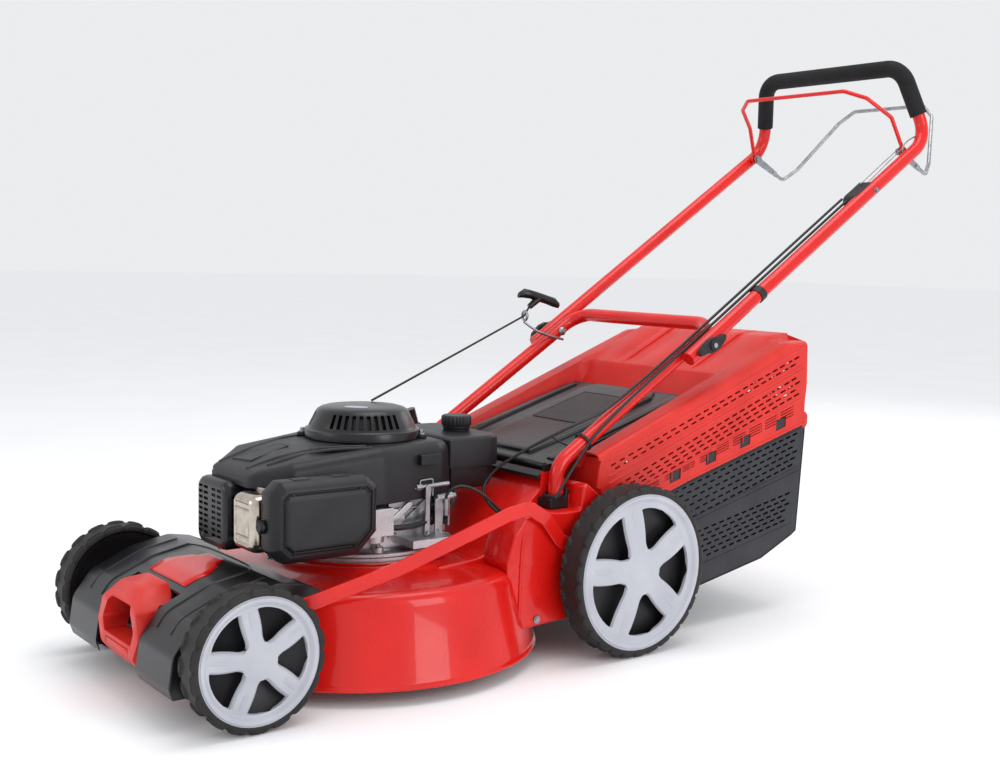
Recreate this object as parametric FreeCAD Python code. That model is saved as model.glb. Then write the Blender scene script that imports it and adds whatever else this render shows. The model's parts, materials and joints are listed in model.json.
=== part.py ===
import FreeCAD, Part
import math
import os

# Self-propelled petrol lawn mower, millimetres.
# While it is modelled, -Y is the way it travels, +X is its left-hand side, +Z is up and the
# ground is z = 0.  The blade axis stands a little ahead of y = 0.  write_parts() then moves
# everything along Y, so that the origin is the centre of the footprint on the ground.

# Wheels
FRONT_WHEEL_R = 100.0
REAR_WHEEL_R = 140.0
FRONT_AXLE_Y = -330.0
REAR_AXLE_Y = 336.0
FRONT_FACE_X = 260.0
REAR_FACE_X = 289.0
FRONT_TYRE_W = 46.0
REAR_TYRE_W = 50.0
RUN_GAP = 0.3

# Central height adjustment: both axles are cranks on the same arm and swing together
CRANK_ARM = 46.5
CRANK_REST_DEG = 33.0
LINK_ARM = (-20.0, 32.0)

# Deck
BLADE_Y = -20.0
DECK_R = 286.0
SHOULDER_R = 258.0
DECK_BOTTOM_Z = 22.0
SHOULDER_Z = 158.0
SEAT_Z = 170.0
SEAT_R = 135.0
SKIN = 3.0
CRANK_R = 12.0
HOUSING_HALF_W = 225.0
HOUSING_END_Y = 300.0
RAMP_HALF_W = 165.0
VALLEY_Z = 240.0
LOBE_FROM = 158.0

# Handles
TUBE_R = 12.5
TUBE_WALL = 1.8
LOWER_X = 184.0
UPPER_X = 209.6
FOLD = (537.0, 499.0)
UPPER_DEG = 33.0
LOWER_DEG = 32.3

# Grip, bails, starter and bolts
UPPER_BEND_AT = 721.0
UPPER_TAIL = 45.0
GRIP_CORNER = (172.0, 1098.0, 1028.0)
GRIP_FROM = 0.33
GRIP_R = 16.5
BAIL_PIVOT = (1092.0, 864.0)
BAIL_R = 4.0
BAIL_PIN_R = 3.5
BOLT_R = 4.0
GUIDE_EYE = (-180.0, 448.0, 520.0)
STEM_START = FreeCAD.Vector(0, 12, 17)
GRIP_T = (-176.0, 480.0, 563.0)
ROPE_EXIT = (-30.0, 16.0, 404.6)

# Cables, laid in the groove between the tubes
CABLE_R = 2.5
DRIVE_CABLE = (197.0, 11.5)
BRAKE_CABLE = (189.5, 16.5)

# Flap and grass catcher
FLAP_HINGE = (238.0, 302.0)
FLAP_HALF_W = 158.0
BAG_HALF_W = 218.0
BAG_WALL = 3.0


def vec(x, y, z):
    return FreeCAD.Vector(x, y, z)


X_AXIS = vec(1, 0, 0)
Y_AXIS = vec(0, 1, 0)
Z_AXIS = vec(0, 0, 1)


def box(x0, x1, y0, y1, z0, z1):
    return Part.makeBox(x1 - x0, y1 - y0, z1 - z0, vec(x0, y0, z0))


def rod(start, end, radius):
    axis = end - start
    return Part.makeCylinder(radius, axis.Length, start, axis)


def x_rod(y, z, x0, x1, radius):
    return rod(vec(x0, y, z), vec(x1, y, z), radius)


def z_rod(x, y, z0, z1, radius):
    return rod(vec(x, y, z0), vec(x, y, z1), radius)


def prism_x(points, x0, x1):
    """A (y, z) outline carried from x0 to x1."""
    wire = Part.makePolygon([vec(x0, y, z) for y, z in points] + [vec(x0, *points[0])])
    return Part.Face(wire).extrude(vec(x1 - x0, 0, 0))


def prism_y(points, y0, y1):
    """An (x, z) outline carried from y0 to y1."""
    ring = points + points[:1]
    wire = Part.makePolygon([vec(x, y0, z) for x, z in ring])
    return Part.Face(wire).extrude(vec(0, y1 - y0, 0))


def prism_z(points, z0, z1):
    """An (x, y) outline carried from z0 to z1."""
    ring = points + points[:1]
    wire = Part.makePolygon([vec(x, y, z0) for x, y in ring])
    return Part.Face(wire).extrude(vec(0, 0, z1 - z0))


def join(shapes):
    return shapes[0].fuse(shapes[1:]).removeSplitter()


def cut(shape, tools):
    return shape.cut(tools).removeSplitter()


def turned_z(profile, x, y):
    """An (r, z) outline turned about the upright line through (x, y)."""
    ring = profile + profile[:1]
    wire = Part.makePolygon([vec(x + r, y, z) for r, z in ring])
    return Part.Face(wire).revolve(vec(x, y, 0), Z_AXIS, 360)


def turned_x(profile, y, z):
    """An (x, r) outline turned about the crosswise line through (y, z)."""
    ring = profile + profile[:1]
    wire = Part.makePolygon([vec(x, y, z + r) for x, r in ring])
    return Part.Face(wire).revolve(vec(0, y, z), X_AXIS, 360)


def mirrored(shape):
    return shape.mirror(vec(0, 0, 0), X_AXIS)


def largest(shape):
    return max(shape.Solids, key=lambda solid: solid.Volume)


def both_sides(shape):
    return Part.makeCompound([shape, mirrored(shape)])


def round_path(points, radii):
    """Straight runs joined by tangent arcs, as one wire."""
    edges = []
    start = points[0]
    for index, radius in enumerate(radii, start=1):
        corner = points[index]
        back = (points[index - 1] - corner).normalize()
        ahead = (points[index + 1] - corner).normalize()
        half = back.getAngle(ahead) / 2
        reach = radius / math.tan(half)
        first = corner + back * reach
        last = corner + ahead * reach
        centre = corner + (back + ahead).normalize() * (radius / math.sin(half))
        middle = centre + (corner - centre).normalize() * radius
        if (first - start).Length > 1e-6:
            edges.append(Part.LineSegment(start, first).toShape())
        edges.append(Part.Arc(first, middle, last).toShape())
        start = last
    edges.append(Part.LineSegment(start, points[-1]).toShape())
    return Part.Wire(edges)


def swept(path, radius):
    edge = path.Edges[0]
    start = edge.valueAt(edge.FirstParameter)
    heading = edge.tangentAt(edge.FirstParameter)
    section = Part.Wire([Part.Circle(start, heading, radius).toShape()])
    return path.makePipeShell([section], True, False)


def bent_rod(points, radii, radius):
    return swept(round_path(points, radii), radius)


def bent_tube(points, radii, radius, wall):
    path = round_path(points, radii)
    return swept(path, radius).cut(swept(path, radius - wall))


def bar_run(start, end, depth, thickness):
    """A flat bar on edge from start to end, thin along X, with round ends."""
    along = end - start
    across = along.cross(X_AXIS).normalize() * (depth / 2)
    half = X_AXIS * (thickness / 2)
    corners = [start + across, end + across, end - across, start - across]
    ring = [corner - half for corner in corners]
    web = Part.Face(Part.makePolygon(ring + ring[:1])).extrude(half * 2)
    ends = [rod(point - half, point + half, depth / 2) for point in (start, end)]
    return join([web] + ends)


def hull_plate(centres, radius, x0, x1):
    """A plate in the YZ plane that joins round eyes at the given centres."""
    pieces = [x_rod(y, z, x0, x1, radius) for y, z in centres]
    for index, first in enumerate(centres):
        for second in centres[index + 1:]:
            start = vec((x0 + x1) / 2, *first)
            end = vec((x0 + x1) / 2, *second)
            pieces.append(bar_run(start, end, 2 * radius, x1 - x0))
    return join(pieces)


def crank_pivot(axle_y, axle_z):
    angle = math.radians(CRANK_REST_DEG)
    return axle_y - CRANK_ARM * math.cos(angle), axle_z - CRANK_ARM * math.sin(angle)


FRONT_PIVOT = crank_pivot(FRONT_AXLE_Y, FRONT_WHEEL_R)
REAR_PIVOT = crank_pivot(REAR_AXLE_Y, REAR_WHEEL_R)
FRONT_LINK = (FRONT_PIVOT[0] + LINK_ARM[0], FRONT_PIVOT[1] + LINK_ARM[1])
REAR_LINK = (REAR_PIVOT[0] + LINK_ARM[0], REAR_PIVOT[1] + LINK_ARM[1])


# ---------------------------------------------------------------- deck

def lobe_outline(inset):
    """Side view of the housing's two shoulders, with the dip where a handle foot stands."""
    return [
        (107 + inset, DECK_BOTTOM_Z + 26 - inset * 2), (107 + inset, 169.8 - inset),
        (122 + inset, 216 - inset), (140, 238 - inset), (172, 246 - inset),
        (214, VALLEY_Z - inset), (254 + inset, VALLEY_Z - inset), (258 + inset, 278 - inset),
        (266, 283 - inset), (HOUSING_END_Y + inset * 2, 256 - inset),
        (HOUSING_END_Y + inset * 2, 196), (262, 150), (250, DECK_BOTTOM_Z + 34 - inset * 2),
    ]


def ramp_outline(inset):
    """Side view of the slope that rises from the engine seat to the flap."""
    return [
        (20, 150 - inset), (20, 164 - inset), (107, 169.8 - inset), (FLAP_HINGE[0] - 6, 284 - inset),
        (HOUSING_END_Y + inset * 2, 256 - inset), (HOUSING_END_Y + inset * 2, 196),
        (262, 150), (250, 90), (150, 90), (110, 150 - inset),
    ]


def make_deck_shell():
    outer = [
        (0, DECK_BOTTOM_Z), (DECK_R, DECK_BOTTOM_Z), (DECK_R, DECK_BOTTOM_Z + 6),
        (DECK_R - 4, DECK_BOTTOM_Z + 6), (SHOULDER_R + 4, SHOULDER_Z - 16),
        (SHOULDER_R - 8, SHOULDER_Z), (SEAT_R + 28, SHOULDER_Z + 4),
        (SEAT_R + 14, SEAT_Z), (0, SEAT_Z),
    ]
    inner = [
        (0, DECK_BOTTOM_Z - 1), (DECK_R - 8, DECK_BOTTOM_Z - 1),
        (SHOULDER_R, SHOULDER_Z - 18), (SHOULDER_R - 12, SHOULDER_Z - SKIN),
        (SEAT_R + 26, SHOULDER_Z + 4 - SKIN), (SEAT_R + 12, SEAT_Z - SKIN),
        (0, SEAT_Z - SKIN),
    ]
    lobe = prism_x(lobe_outline(0), LOBE_FROM, HOUSING_HALF_W)
    ramp = prism_x(ramp_outline(0), -RAMP_HALF_W, RAMP_HALF_W)
    body = join([turned_z(outer, 0, BLADE_Y), lobe, mirrored(lobe), ramp])
    space_w = HOUSING_HALF_W - SKIN
    lobe_space = prism_x(lobe_outline(SKIN), LOBE_FROM + SKIN, space_w)
    ramp_w = RAMP_HALF_W - SKIN
    spaces = [
        turned_z(inner, 0, BLADE_Y),
        lobe_space,
        mirrored(lobe_space),
        prism_x(ramp_outline(SKIN), -ramp_w, ramp_w),
        box(-space_w, space_w, 60, 240, 0, DECK_BOTTOM_Z + 40),
        z_rod(0, BLADE_Y, SEAT_Z - 30, SEAT_Z + 30, 45),
        x_rod(*REAR_PIVOT, -260, 260, 16),
    ]
    return largest(cut(body, spaces))


def make_rear_support():
    """Black strip across the deck that carries the flap's hinge rod."""
    y, z = FLAP_HINGE
    half = RAMP_HALF_W - 1
    strip = prism_x([(212, 285.2), (y - 5, 285.2), (y - 5, 292), (224, 297), (212, 290)], -half, half)
    ears = [box(x, x + 4, y - 14, y + 6, 285.2, z + 6) for x in (-half, half - 4)]
    return join([strip, x_rod(y, z, -half, half, 3)] + ears)


def make_front_cover():
    """Black cover over the front axle, between the front wheels."""
    outline = [
        (-426, 44), (-430, 60), (-424, 104), (-396, 142), (-330, 172), (-268, 184),
        (-232, 178), (-200, 164), (-200, 158), (-330, 158), (-330, 44),
    ]
    inner = [
        (-423, 40), (-427, 60), (-421, 103), (-394, 139), (-329, 169), (-268, 181),
        (-233, 175), (-180, 164), (-180, 120), (-326, 120), (-326, 40),
    ]
    solid = prism_x(outline, -190, 190)
    space = prism_x(inner, -187, 187)
    drum = z_rod(0, BLADE_Y, 0, SHOULDER_Z + 4, DECK_R + 2)
    edge_r = SHOULDER_R - 30
    top_edge = turned_z([(0, SHOULDER_Z), (edge_r, SHOULDER_Z), (edge_r, 240), (0, 240)], 0, BLADE_Y)
    openings = [
        box(-77, 77, -440, -363, 30, 170),
        x_rod(*FRONT_PIVOT, -195, 195, 14),
    ]
    return cut(solid, [space, drum, top_edge] + openings)


def make_carry_handle():
    """Red carry handle in the middle of the front cover."""
    side = [(-414, 48), (-428, 66), (-424, 132), (-404, 160), (-364, 166), (-364, 152),
            (-376, 118), (-392, 84), (-400, 48)]
    opening = [(-50, 84), (-58, 104), (-38, 138), (38, 138), (58, 104), (50, 84)]
    shoulders = [(-90, 96), (-76, 96), (-62, 134), (-34, 162), (34, 162), (62, 134),
                 (76, 96), (90, 96), (90, 190), (-90, 190)]
    body = prism_x(side, -76, 76)
    hollow = prism_x([(-400, 84), (-400, 146), (-350, 154), (-350, 84)], -66, 66)
    return cut(body, [prism_y(opening, -440, -350), hollow, prism_y(shoulders, -440, -350)])


def make_axle_bearings():
    """Plastic bushes in which both cranked axles turn, on their feet."""
    bushes = []
    for pivot, foot in ((FRONT_PIVOT, 144), (REAR_PIVOT, 176)):
        for x in (-178, 168):
            ring = x_rod(*pivot, x, x + 10, 11)
            leg = box(x, x + 10, pivot[0] - 6, pivot[0] + 6, pivot[1], foot)
            bore = x_rod(*pivot, x - 1, x + 11, 6 + RUN_GAP)
            bushes.append(cut(join([ring, leg]), [bore]))
    return Part.makeCompound(bushes)


# ---------------------------------------------------------------- height adjustment

def make_axle(pivot, axle, arm_x, tip_x, rod_r):
    """Cranked axle: pivot rod, one arm at each side, and the stub that carries each wheel."""
    pieces = [x_rod(*pivot, -arm_x, arm_x, 6)]
    for side in (-1, 1):
        inner = side * (arm_x - 6)
        outer = side * arm_x
        x0, x1 = sorted((inner, outer))
        pieces.append(hull_plate([pivot, axle], 12, x0, x1))
        start, end = sorted((inner, side * tip_x))
        pieces.append(x_rod(*axle, start, end, rod_r))
    return pieces


def make_front_axle():
    axle = (FRONT_AXLE_Y, FRONT_WHEEL_R)
    pieces = make_axle(FRONT_PIVOT, axle, 203, FRONT_FACE_X - 8, 6)
    pieces.append(hull_plate([FRONT_PIVOT, FRONT_LINK], 10, 197, 203))
    pieces.append(x_rod(*FRONT_LINK, 197, 211, 4))
    return join(pieces)


def make_rear_axle():
    axle = (REAR_AXLE_Y, REAR_WHEEL_R)
    pieces = make_axle(REAR_PIVOT, axle, 229, REAR_FACE_X - 8, 7)
    pieces.append(x_rod(*axle, -226, 226, 7))
    pieces.append(hull_plate([REAR_PIVOT, REAR_LINK], 10, 225.5, 229))
    pieces.append(x_rod(*REAR_LINK, 225.5, 236.5, 4))
    return join(pieces)


def make_height_link_bar():
    """Flat bar on the left side that ties both cranks together."""
    route = [
        vec(206.5, *FRONT_LINK), vec(206.5, -266, 146), vec(222, -226, 159), vec(234, -99, 191),
        vec(235, 6, 222),
        vec(235, 99, 250), vec(235, 140, 256), vec(234, 174, 236), vec(232, 205, 199),
        vec(232, *REAR_LINK),
    ]
    runs = [bar_run(start, end, 22, 4.5) for start, end in zip(route, route[1:])]
    bar = join(runs)
    holes = [x_rod(*FRONT_LINK, 190, 220, 4.6), x_rod(*REAR_LINK, 220, 250, 4 + RUN_GAP)]
    return cut(bar, holes)


def make_height_lever():
    """Hand lever on the right side, turning with the rear axle."""
    x = -233.5
    blade = bar_run(vec(x, *REAR_PIVOT), vec(x, 262, 268), 16, 4)
    upper = bar_run(vec(x, 262, 268), vec(x, 244, 322), 16, 4)
    knob = rod(vec(x, 240, 312), vec(x, 226, 356), 9)
    eye = x_rod(*REAR_PIVOT, x - 2, -229, 12)
    return join([blade, upper, eye, knob])


def make_height_quadrant():
    """Notched plate that holds the height lever."""
    radius = 175
    pieces = []
    y0, z0 = REAR_PIVOT
    ring = x_rod(y0, z0, -228.5, -225, radius + 10).cut(x_rod(y0, z0, -229, -224, radius - 8))
    sector = prism_x([(y0, z0), (y0 - 140, z0 + 240), (y0 + 150, z0 + 240)], -229, -224)
    plate = ring.common(sector)
    for step in range(7):
        angle = math.radians(62 + step * 11)
        y = y0 - (radius + 12) * math.cos(angle)
        z = z0 + (radius + 12) * math.sin(angle)
        pieces.append(x_rod(y, z, -230, -223, 6))
    return cut(plate, pieces)


# ---------------------------------------------------------------- wheels

def make_tyre(radius, face_x, width, lugs):
    """Tyre with shoulder lugs, centred on the wheel's own axis at y = 0, z = radius."""
    inner = face_x - width
    rim = radius * 0.885
    profile = [
        (inner + 2, rim), (inner + 2, radius - 9), (inner + 8, radius - 4),
        (face_x - 8, radius - 4), (face_x - 2, radius - 9), (face_x - 2, rim),
    ]
    carcass = turned_x(profile, 0, radius)
    block = turned_x(
        [(inner, rim + 1), (inner, radius - 10), (inner + 6, radius - 1.5), (inner + 10, radius),
         (face_x - 10, radius), (face_x - 6, radius - 1.5), (face_x, radius - 10), (face_x, rim + 1)],
        0, radius)
    grooves = []
    pitch = 360.0 / lugs
    for index in range(lugs):
        for side, offset in ((0, 0), (1, 0.5)):
            middle = inner + width / 2
            x0, x1 = (middle + 2, face_x + 1) if side else (inner - 1, middle - 2)
            gap = box(x0, x1, -2.5, 2.5, radius + radius - 13, radius + radius + 3)
            gap.rotate(vec(0, 0, radius), X_AXIS, (index + offset) * pitch + pitch / 2)
            grooves.append(gap)
    return carcass.fuse(block.cut(grooves)).removeSplitter()


def make_hub(radius, face_x, width, axle_r):
    """Black wheel disc with its bearing boss and ribs."""
    inner = face_x - width
    rim = radius * 0.885 - 0.2
    profile = [
        (inner + 1, axle_r + RUN_GAP), (inner + 1, 16), (inner + 12, 18), (inner + 16, rim - 12),
        (inner + 4, rim - 4), (inner + 4, rim), (face_x - 10, rim), (face_x - 10, rim - 4),
        (inner + 22, rim - 8), (inner + 20, 20), (face_x - 16, 18), (face_x - 16, axle_r + RUN_GAP),
    ]
    return turned_x(profile, 0, radius)


def make_cap(radius, face_x, spokes):
    """Silver trim with five openings between its spokes."""
    rim = radius * 0.885 - 0.4
    profile = [
        (face_x - 9.5, rim), (face_x - 1, rim), (face_x - 3, rim - 6), (face_x - 6, rim - 9),
        (face_x - 4, radius * 0.4), (face_x - 2, radius * 0.2), (face_x, 0),
        (face_x - 4, 0), (face_x - 6, radius * 0.2), (face_x - 9.5, radius * 0.45),
    ]
    disc = turned_x(profile, 0, radius)
    outline = [(0.27, -0.03), (0.36, -0.09), (0.55, -0.19), (0.72, -0.25), (0.76, -0.16),
               (0.785, 0.0), (0.76, 0.16), (0.72, 0.25), (0.55, 0.19), (0.36, 0.09), (0.27, 0.03)]
    windows = []
    for index in range(spokes):
        points = [(r * radius, radius + s * radius) for r, s in outline]
        window = prism_x(points, face_x - 20, face_x + 5)
        window.rotate(vec(0, 0, radius), X_AXIS, 360.0 / spokes * index + 6)
        windows.append(window)
    return cut(disc, windows)


def wheel_nodes(name, radius, axle_y, face_x, width, axle_r, lugs, left):
    pieces = {
        "tyre": make_tyre(radius, face_x, width, lugs),
        "hub": make_hub(radius, face_x, width, axle_r),
        "cap": make_cap(radius, face_x, 5),
    }
    nodes = {}
    for piece, shape in pieces.items():
        placed = shape if left else mirrored(shape)
        nodes[name + "_" + piece] = placed.translated(vec(0, axle_y, 0))
    return nodes


# ---------------------------------------------------------------- engine and blade

def make_crankcase():
    base = z_rod(0, BLADE_Y, SEAT_Z, SEAT_Z + 8, 125)
    sump = z_rod(0, BLADE_Y, SEAT_Z + 8, 258, 96)
    barrel = box(14, 100, -231, -70, 209, 255)
    fins = [box(6, 108, -232 + step * 14, -226 + step * 14, 200, 256) for step in range(6)]
    shelf = box(20, 150, -18, 60, 194, 206)
    space = z_rod(0, BLADE_Y, SEAT_Z - 1, 252, 84)
    foot = z_rod(0, BLADE_Y, SEAT_Z - 1, SEAT_Z + 9, 44)
    seal_bore = z_rod(0, BLADE_Y, 250, 262, CRANK_R + RUN_GAP)
    return cut(join([base, sump, barrel, shelf] + fins), [space, foot, seal_bore])


def make_valve_cover():
    body = box(74, 142, -286, -250, 214, 298)
    body = body.makeFillet(10, [edge for edge in body.Edges if abs(edge.tangentAt(0).y) > 0.9])
    flange = box(66, 147.5, -250, -244, 206, 306)
    neck = box(80, 136, -244, -232.2, 224, 256)
    return join([body, flange, neck])


def make_engine_shroud():
    """Black fan shroud that slopes forward from the recoil housing."""
    side = [(-225, 262), (-225, 308), (-263, 308), (-263, 320), (-200, 338), (-140, 350),
            (88, 350), (88, 262)]
    plan = [(-40, -263), (84, -263), (128, -215), (135, -60), (112, 60), (92, 88),
            (-96, 88), (-120, 60), (-120, -70), (-92, -206)]
    solid = prism_x(side, -160, 160).common(prism_z(plan, 200, 400))
    inner_side = [(-222, 250), (-222, 311), (-260, 311), (-260, 317), (-199, 335), (-139, 347),
                  (85, 347), (85, 250)]
    inner_plan = [(-38, -260), (83, -260), (125, -213), (132, -60), (109, 59), (90, 85),
                  (-95, 85), (-117, 59), (-117, -70), (-89, -205)]
    space = prism_x(inner_side, -160, 160).common(prism_z(inner_plan, 200, 400))
    air_hole = z_rod(0, BLADE_Y, 340, 360, 80)
    return cut(solid, [space, air_hole])


def make_recoil_housing():
    centre_y = BLADE_Y
    outer = [(0, 350.2), (92, 350.2), (92, 366), (74, 396), (60, 402), (0, 402)]
    inner = [(0, 349), (88, 349), (88, 364), (70, 392), (0, 398)]
    dome = turned_z(outer, 0, centre_y)
    space = turned_z(inner, 0, centre_y)
    slots = []
    for index in range(24):
        slot = box(-2.6, 2.6, 68, 104, 364, 391)
        slot.rotate(vec(0, 0, 0), Z_AXIS, index * 15)
        slots.append(slot.translated(vec(0, centre_y, 0)))
    return cut(dome, [space] + slots)


def make_fuel_tank():
    side = [(88.5, 262), (88.5, 346), (150, 350), (196, 344), (200, 300), (184, 264)]
    tank = prism_x(side, -96, 92)
    inner = [(91.5, 265), (91.5, 343), (150, 347), (193, 341), (197, 300), (182, 267)]
    neck = z_rod(10, 158, 344, 354, 18)
    bore = z_rod(10, 158, 335, 360, 14)
    return cut(join([tank, neck]), [prism_x(inner, -93, 89), bore])


def make_fuel_cap():
    skirt = z_rod(10, 158, 354.3, 374, 26)
    grips = []
    for index in range(16):
        angle = math.radians(index * 22.5)
        grips.append(z_rod(10 + 27 * math.cos(angle), 158 + 27 * math.sin(angle), 352, 376, 2.4))
    stem = z_rod(10, 158, 340, 356, 13.6)
    return join([cut(skirt, grips), stem])


def make_air_filter_cover():
    outline = [(-275, 224), (-275, 306), (-258, 322), (-120, 322), (-100, 306), (-100, 236),
               (-132, 204), (-252, 204)]
    panel = [(-258, 236), (-258, 296), (-244, 310), (-134, 310), (-118, 296), (-118, 240),
             (-142, 218), (-238, 218)]
    body = prism_x(outline, 148, 190)
    raised = prism_x(panel, 189, 197)
    space = prism_x([(y * 0.96 - 7.5, z * 0.96 + 10.5) for y, z in outline], 146, 186)
    return cut(join([body, raised]), [space])


def make_carburettor():
    """Carburettor behind the filter, with its intake elbow."""
    body = box(101, 134, -98, -44, 216, 258)
    bowl = z_rod(118, -70, 206.3, 217, 16)
    elbow = box(109, 147.7, -180, -98, 228, 256)
    return join([body, bowl, elbow])


def make_muffler():
    body = box(-42, 40, -272, -236, 212, 292)
    body = body.makeFillet(8, [edge for edge in body.Edges if abs(edge.tangentAt(0).y) > 0.9])
    pipe = rod(vec(-7, -237, 240), vec(-7, -215, 240), 11)
    stub = box(-18, 5.6, -216, -118, 226, 252)
    return join([body, pipe, stub])


def make_muffler_guard():
    outer = box(-50, 50, -282, -238, 200, 304)
    outer = outer.makeFillet(14, [edge for edge in outer.Edges if abs(edge.tangentAt(0).y) > 0.9])
    space = box(-47, 47, -279, -230, 203, 301)
    slots = [box(-34, 34, -290, -270, 214 + row * 10, 219 + row * 10) for row in range(8)]
    return cut(outer, [space] + slots)


def make_control_bracket():
    """Zinc-plated bracket with the governor arm and the cable anchor."""
    plate = box(104, 107, -36, 70, 206.2, 262)
    tab = box(107, 132, 58, 61, 220, 262)
    arm = bar_run(vec(110, -20, 216), vec(110, 34, 258), 12, 4)
    anchor = z_rod(129, 56, 236, 262, 5)
    link = rod(vec(110, -20, 250), vec(110, 60, 250), 2)
    return join([plate, tab, arm, anchor, link, box(106, 129, 52, 59, 238, 246)])


def make_gearbox():
    y, z = REAR_AXLE_Y, REAR_WHEEL_R
    case = x_rod(y, z, -32, 32, 30)
    tower = box(-20, 20, y - 29, y + 6, z - 34, z - 6)
    shaft = z_rod(0, y - 16, z - 50, z - 30, 5)
    bore = x_rod(y, z, -40, 40, 7 + RUN_GAP)
    return cut(join([case, tower, shaft]), [bore])


def make_gearbox_pulley():
    y = REAR_AXLE_Y - 16
    top = REAR_WHEEL_R - 36
    profile = [(5 + RUN_GAP, top - 12), (25, top - 12), (20, top - 6), (25, top), (5 + RUN_GAP, top)]
    return turned_z(profile, 0, y)


def make_drive_belt():
    """V-belt from the crankshaft pulley to the gearbox pulley."""
    far_y = REAR_AXLE_Y - 16
    z0 = REAR_WHEEL_R - 45
    outer_r = (30.0, 27.0)
    loops = []
    for grow in (0.0, -3.0):
        near, far = outer_r[0] + grow, outer_r[1] + grow
        loop = join([
            z_rod(0, BLADE_Y, z0, z0 + 6, near),
            z_rod(0, far_y, z0, z0 + 6, far),
            prism_z([(-near, BLADE_Y), (near, BLADE_Y), (far, far_y), (-far, far_y)], z0, z0 + 6),
        ])
        loops.append(loop)
    return cut(loops[0], [loops[1].translated(vec(0, 0, -1)), loops[1].translated(vec(0, 0, 1))])


def make_crankshaft():
    """Crankshaft with the fan flywheel above and the belt pulley below."""
    shaft = z_rod(0, BLADE_Y, 56, 338, CRANK_R)
    web = z_rod(30, BLADE_Y, 214, 232, 22)
    flywheel = z_rod(0, BLADE_Y, 276, 296, 78)
    fins = []
    for index in range(12):
        fin = box(40, 78, -2, 2, 294, 316)
        fin.rotate(vec(0, 0, 0), Z_AXIS, index * 30)
        fins.append(fin.translated(vec(0, BLADE_Y, 0)))
    z0 = REAR_WHEEL_R - 48
    pulley = turned_z([(10, z0), (28, z0), (23, z0 + 6), (28, z0 + 12), (10, z0 + 12)], 0, BLADE_Y)
    return join([shaft, web, flywheel, pulley] + fins)


def make_blade():
    """Cutting blade with turned-up sails and its carrier."""
    bar = box(-248, 248, BLADE_Y - 28, BLADE_Y + 28, 44, 48)
    sails = [
        prism_y([(sx * 180, 44), (sx * 246, 58), (sx * 246, 62), (sx * 180, 48)], y0, y0 + 24)
        for sx, y0 in ((1, BLADE_Y + 4), (-1, BLADE_Y - 28))
    ]
    carrier = z_rod(0, BLADE_Y, 47, 56, 24)
    hole = z_rod(0, BLADE_Y, 40, 60, 6.2)
    return cut(join([bar, carrier] + sails), [hole])


def make_blade_bolt():
    head = z_rod(0, BLADE_Y, 33, 41, 10)
    washer = z_rod(0, BLADE_Y, 41, 44, 16)
    shank = z_rod(0, BLADE_Y, 44, 56, 6)
    return join([head, washer, shank])


# ---------------------------------------------------------------- handles

def along_handle(distance, degrees, rise=0.0):
    """(y, z) at a distance from the fold bolts along a tube, and a rise square to it."""
    angle = math.radians(degrees)
    y = FOLD[0] + distance * math.cos(angle) - rise * math.sin(angle)
    z = FOLD[1] + distance * math.sin(angle) + rise * math.cos(angle)
    return y, z


def handle_holes(x):
    y, z = FOLD
    return [x_rod(y, z, side * x - 20, side * x + 20, BOLT_R + RUN_GAP) for side in (-1, 1)]


def u_tube(side_points, radii):
    """A tube bent as a U: side_points run up the left side, and the right side mirrors them."""
    right = [vec(-point.x, point.y, point.z) for point in reversed(side_points)]
    return bent_tube(side_points + right, radii + radii[::-1], TUBE_R, TUBE_WALL)


def make_lower_handle():
    foot = vec(LOWER_X, 233, VALLEY_Z + 2)
    bend = vec(LOWER_X, *along_handle(-358, LOWER_DEG))
    corner = vec(LOWER_X, *along_handle(60, LOWER_DEG))
    return cut(u_tube([foot, bend, corner], [44, 42]), handle_holes(LOWER_X))


def make_upper_handle():
    low = vec(UPPER_X, *along_handle(-UPPER_TAIL, UPPER_DEG))
    bend = vec(UPPER_X, *along_handle(UPPER_BEND_AT, UPPER_DEG))
    return cut(u_tube([low, bend, vec(*GRIP_CORNER)], [58, 42]), handle_holes(UPPER_X))


def make_handle_grip():
    """Foam sleeve round the top of the upper handle."""
    bend = vec(UPPER_X, *along_handle(UPPER_BEND_AT, UPPER_DEG))
    corner = vec(*GRIP_CORNER)
    left = [bend + (corner - bend) * GRIP_FROM, corner]
    right = [vec(-point.x, point.y, point.z) for point in reversed(left)]
    path = round_path(left + right, [42, 42])
    return swept(path, GRIP_R).cut(swept(path, TUBE_R + 0.05))


def make_handle_brackets():
    """Plates beside the ramp that the feet of the lower handle are bolted to."""
    plate = box(RAMP_HALF_W + 0.3, RAMP_HALF_W + 4, 216, 250, VALLEY_Z + 0.3, 296)
    lip = box(RAMP_HALF_W + 0.3, LOWER_X + 12, 250, 253.5, VALLEY_Z + 0.3, 262)
    bore = x_rod(233, 276, 150, 180, BOLT_R)
    return both_sides(cut(join([plate, lip]), [bore]))


def make_handle_saddles():
    """Black cups that seat the feet of the lower handle."""
    block = box(RAMP_HALF_W + 4.3, LOWER_X + 15, 212, 249.7, VALLEY_Z + 0.3, 262)
    hook = box(LOWER_X + 8, LOWER_X + 15, 212, 249.7, 262, 272)
    bore = z_rod(LOWER_X, 233, VALLEY_Z + 1.4, 300, TUBE_R + 0.8)
    return both_sides(cut(join([block, hook]), [bore]))


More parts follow.
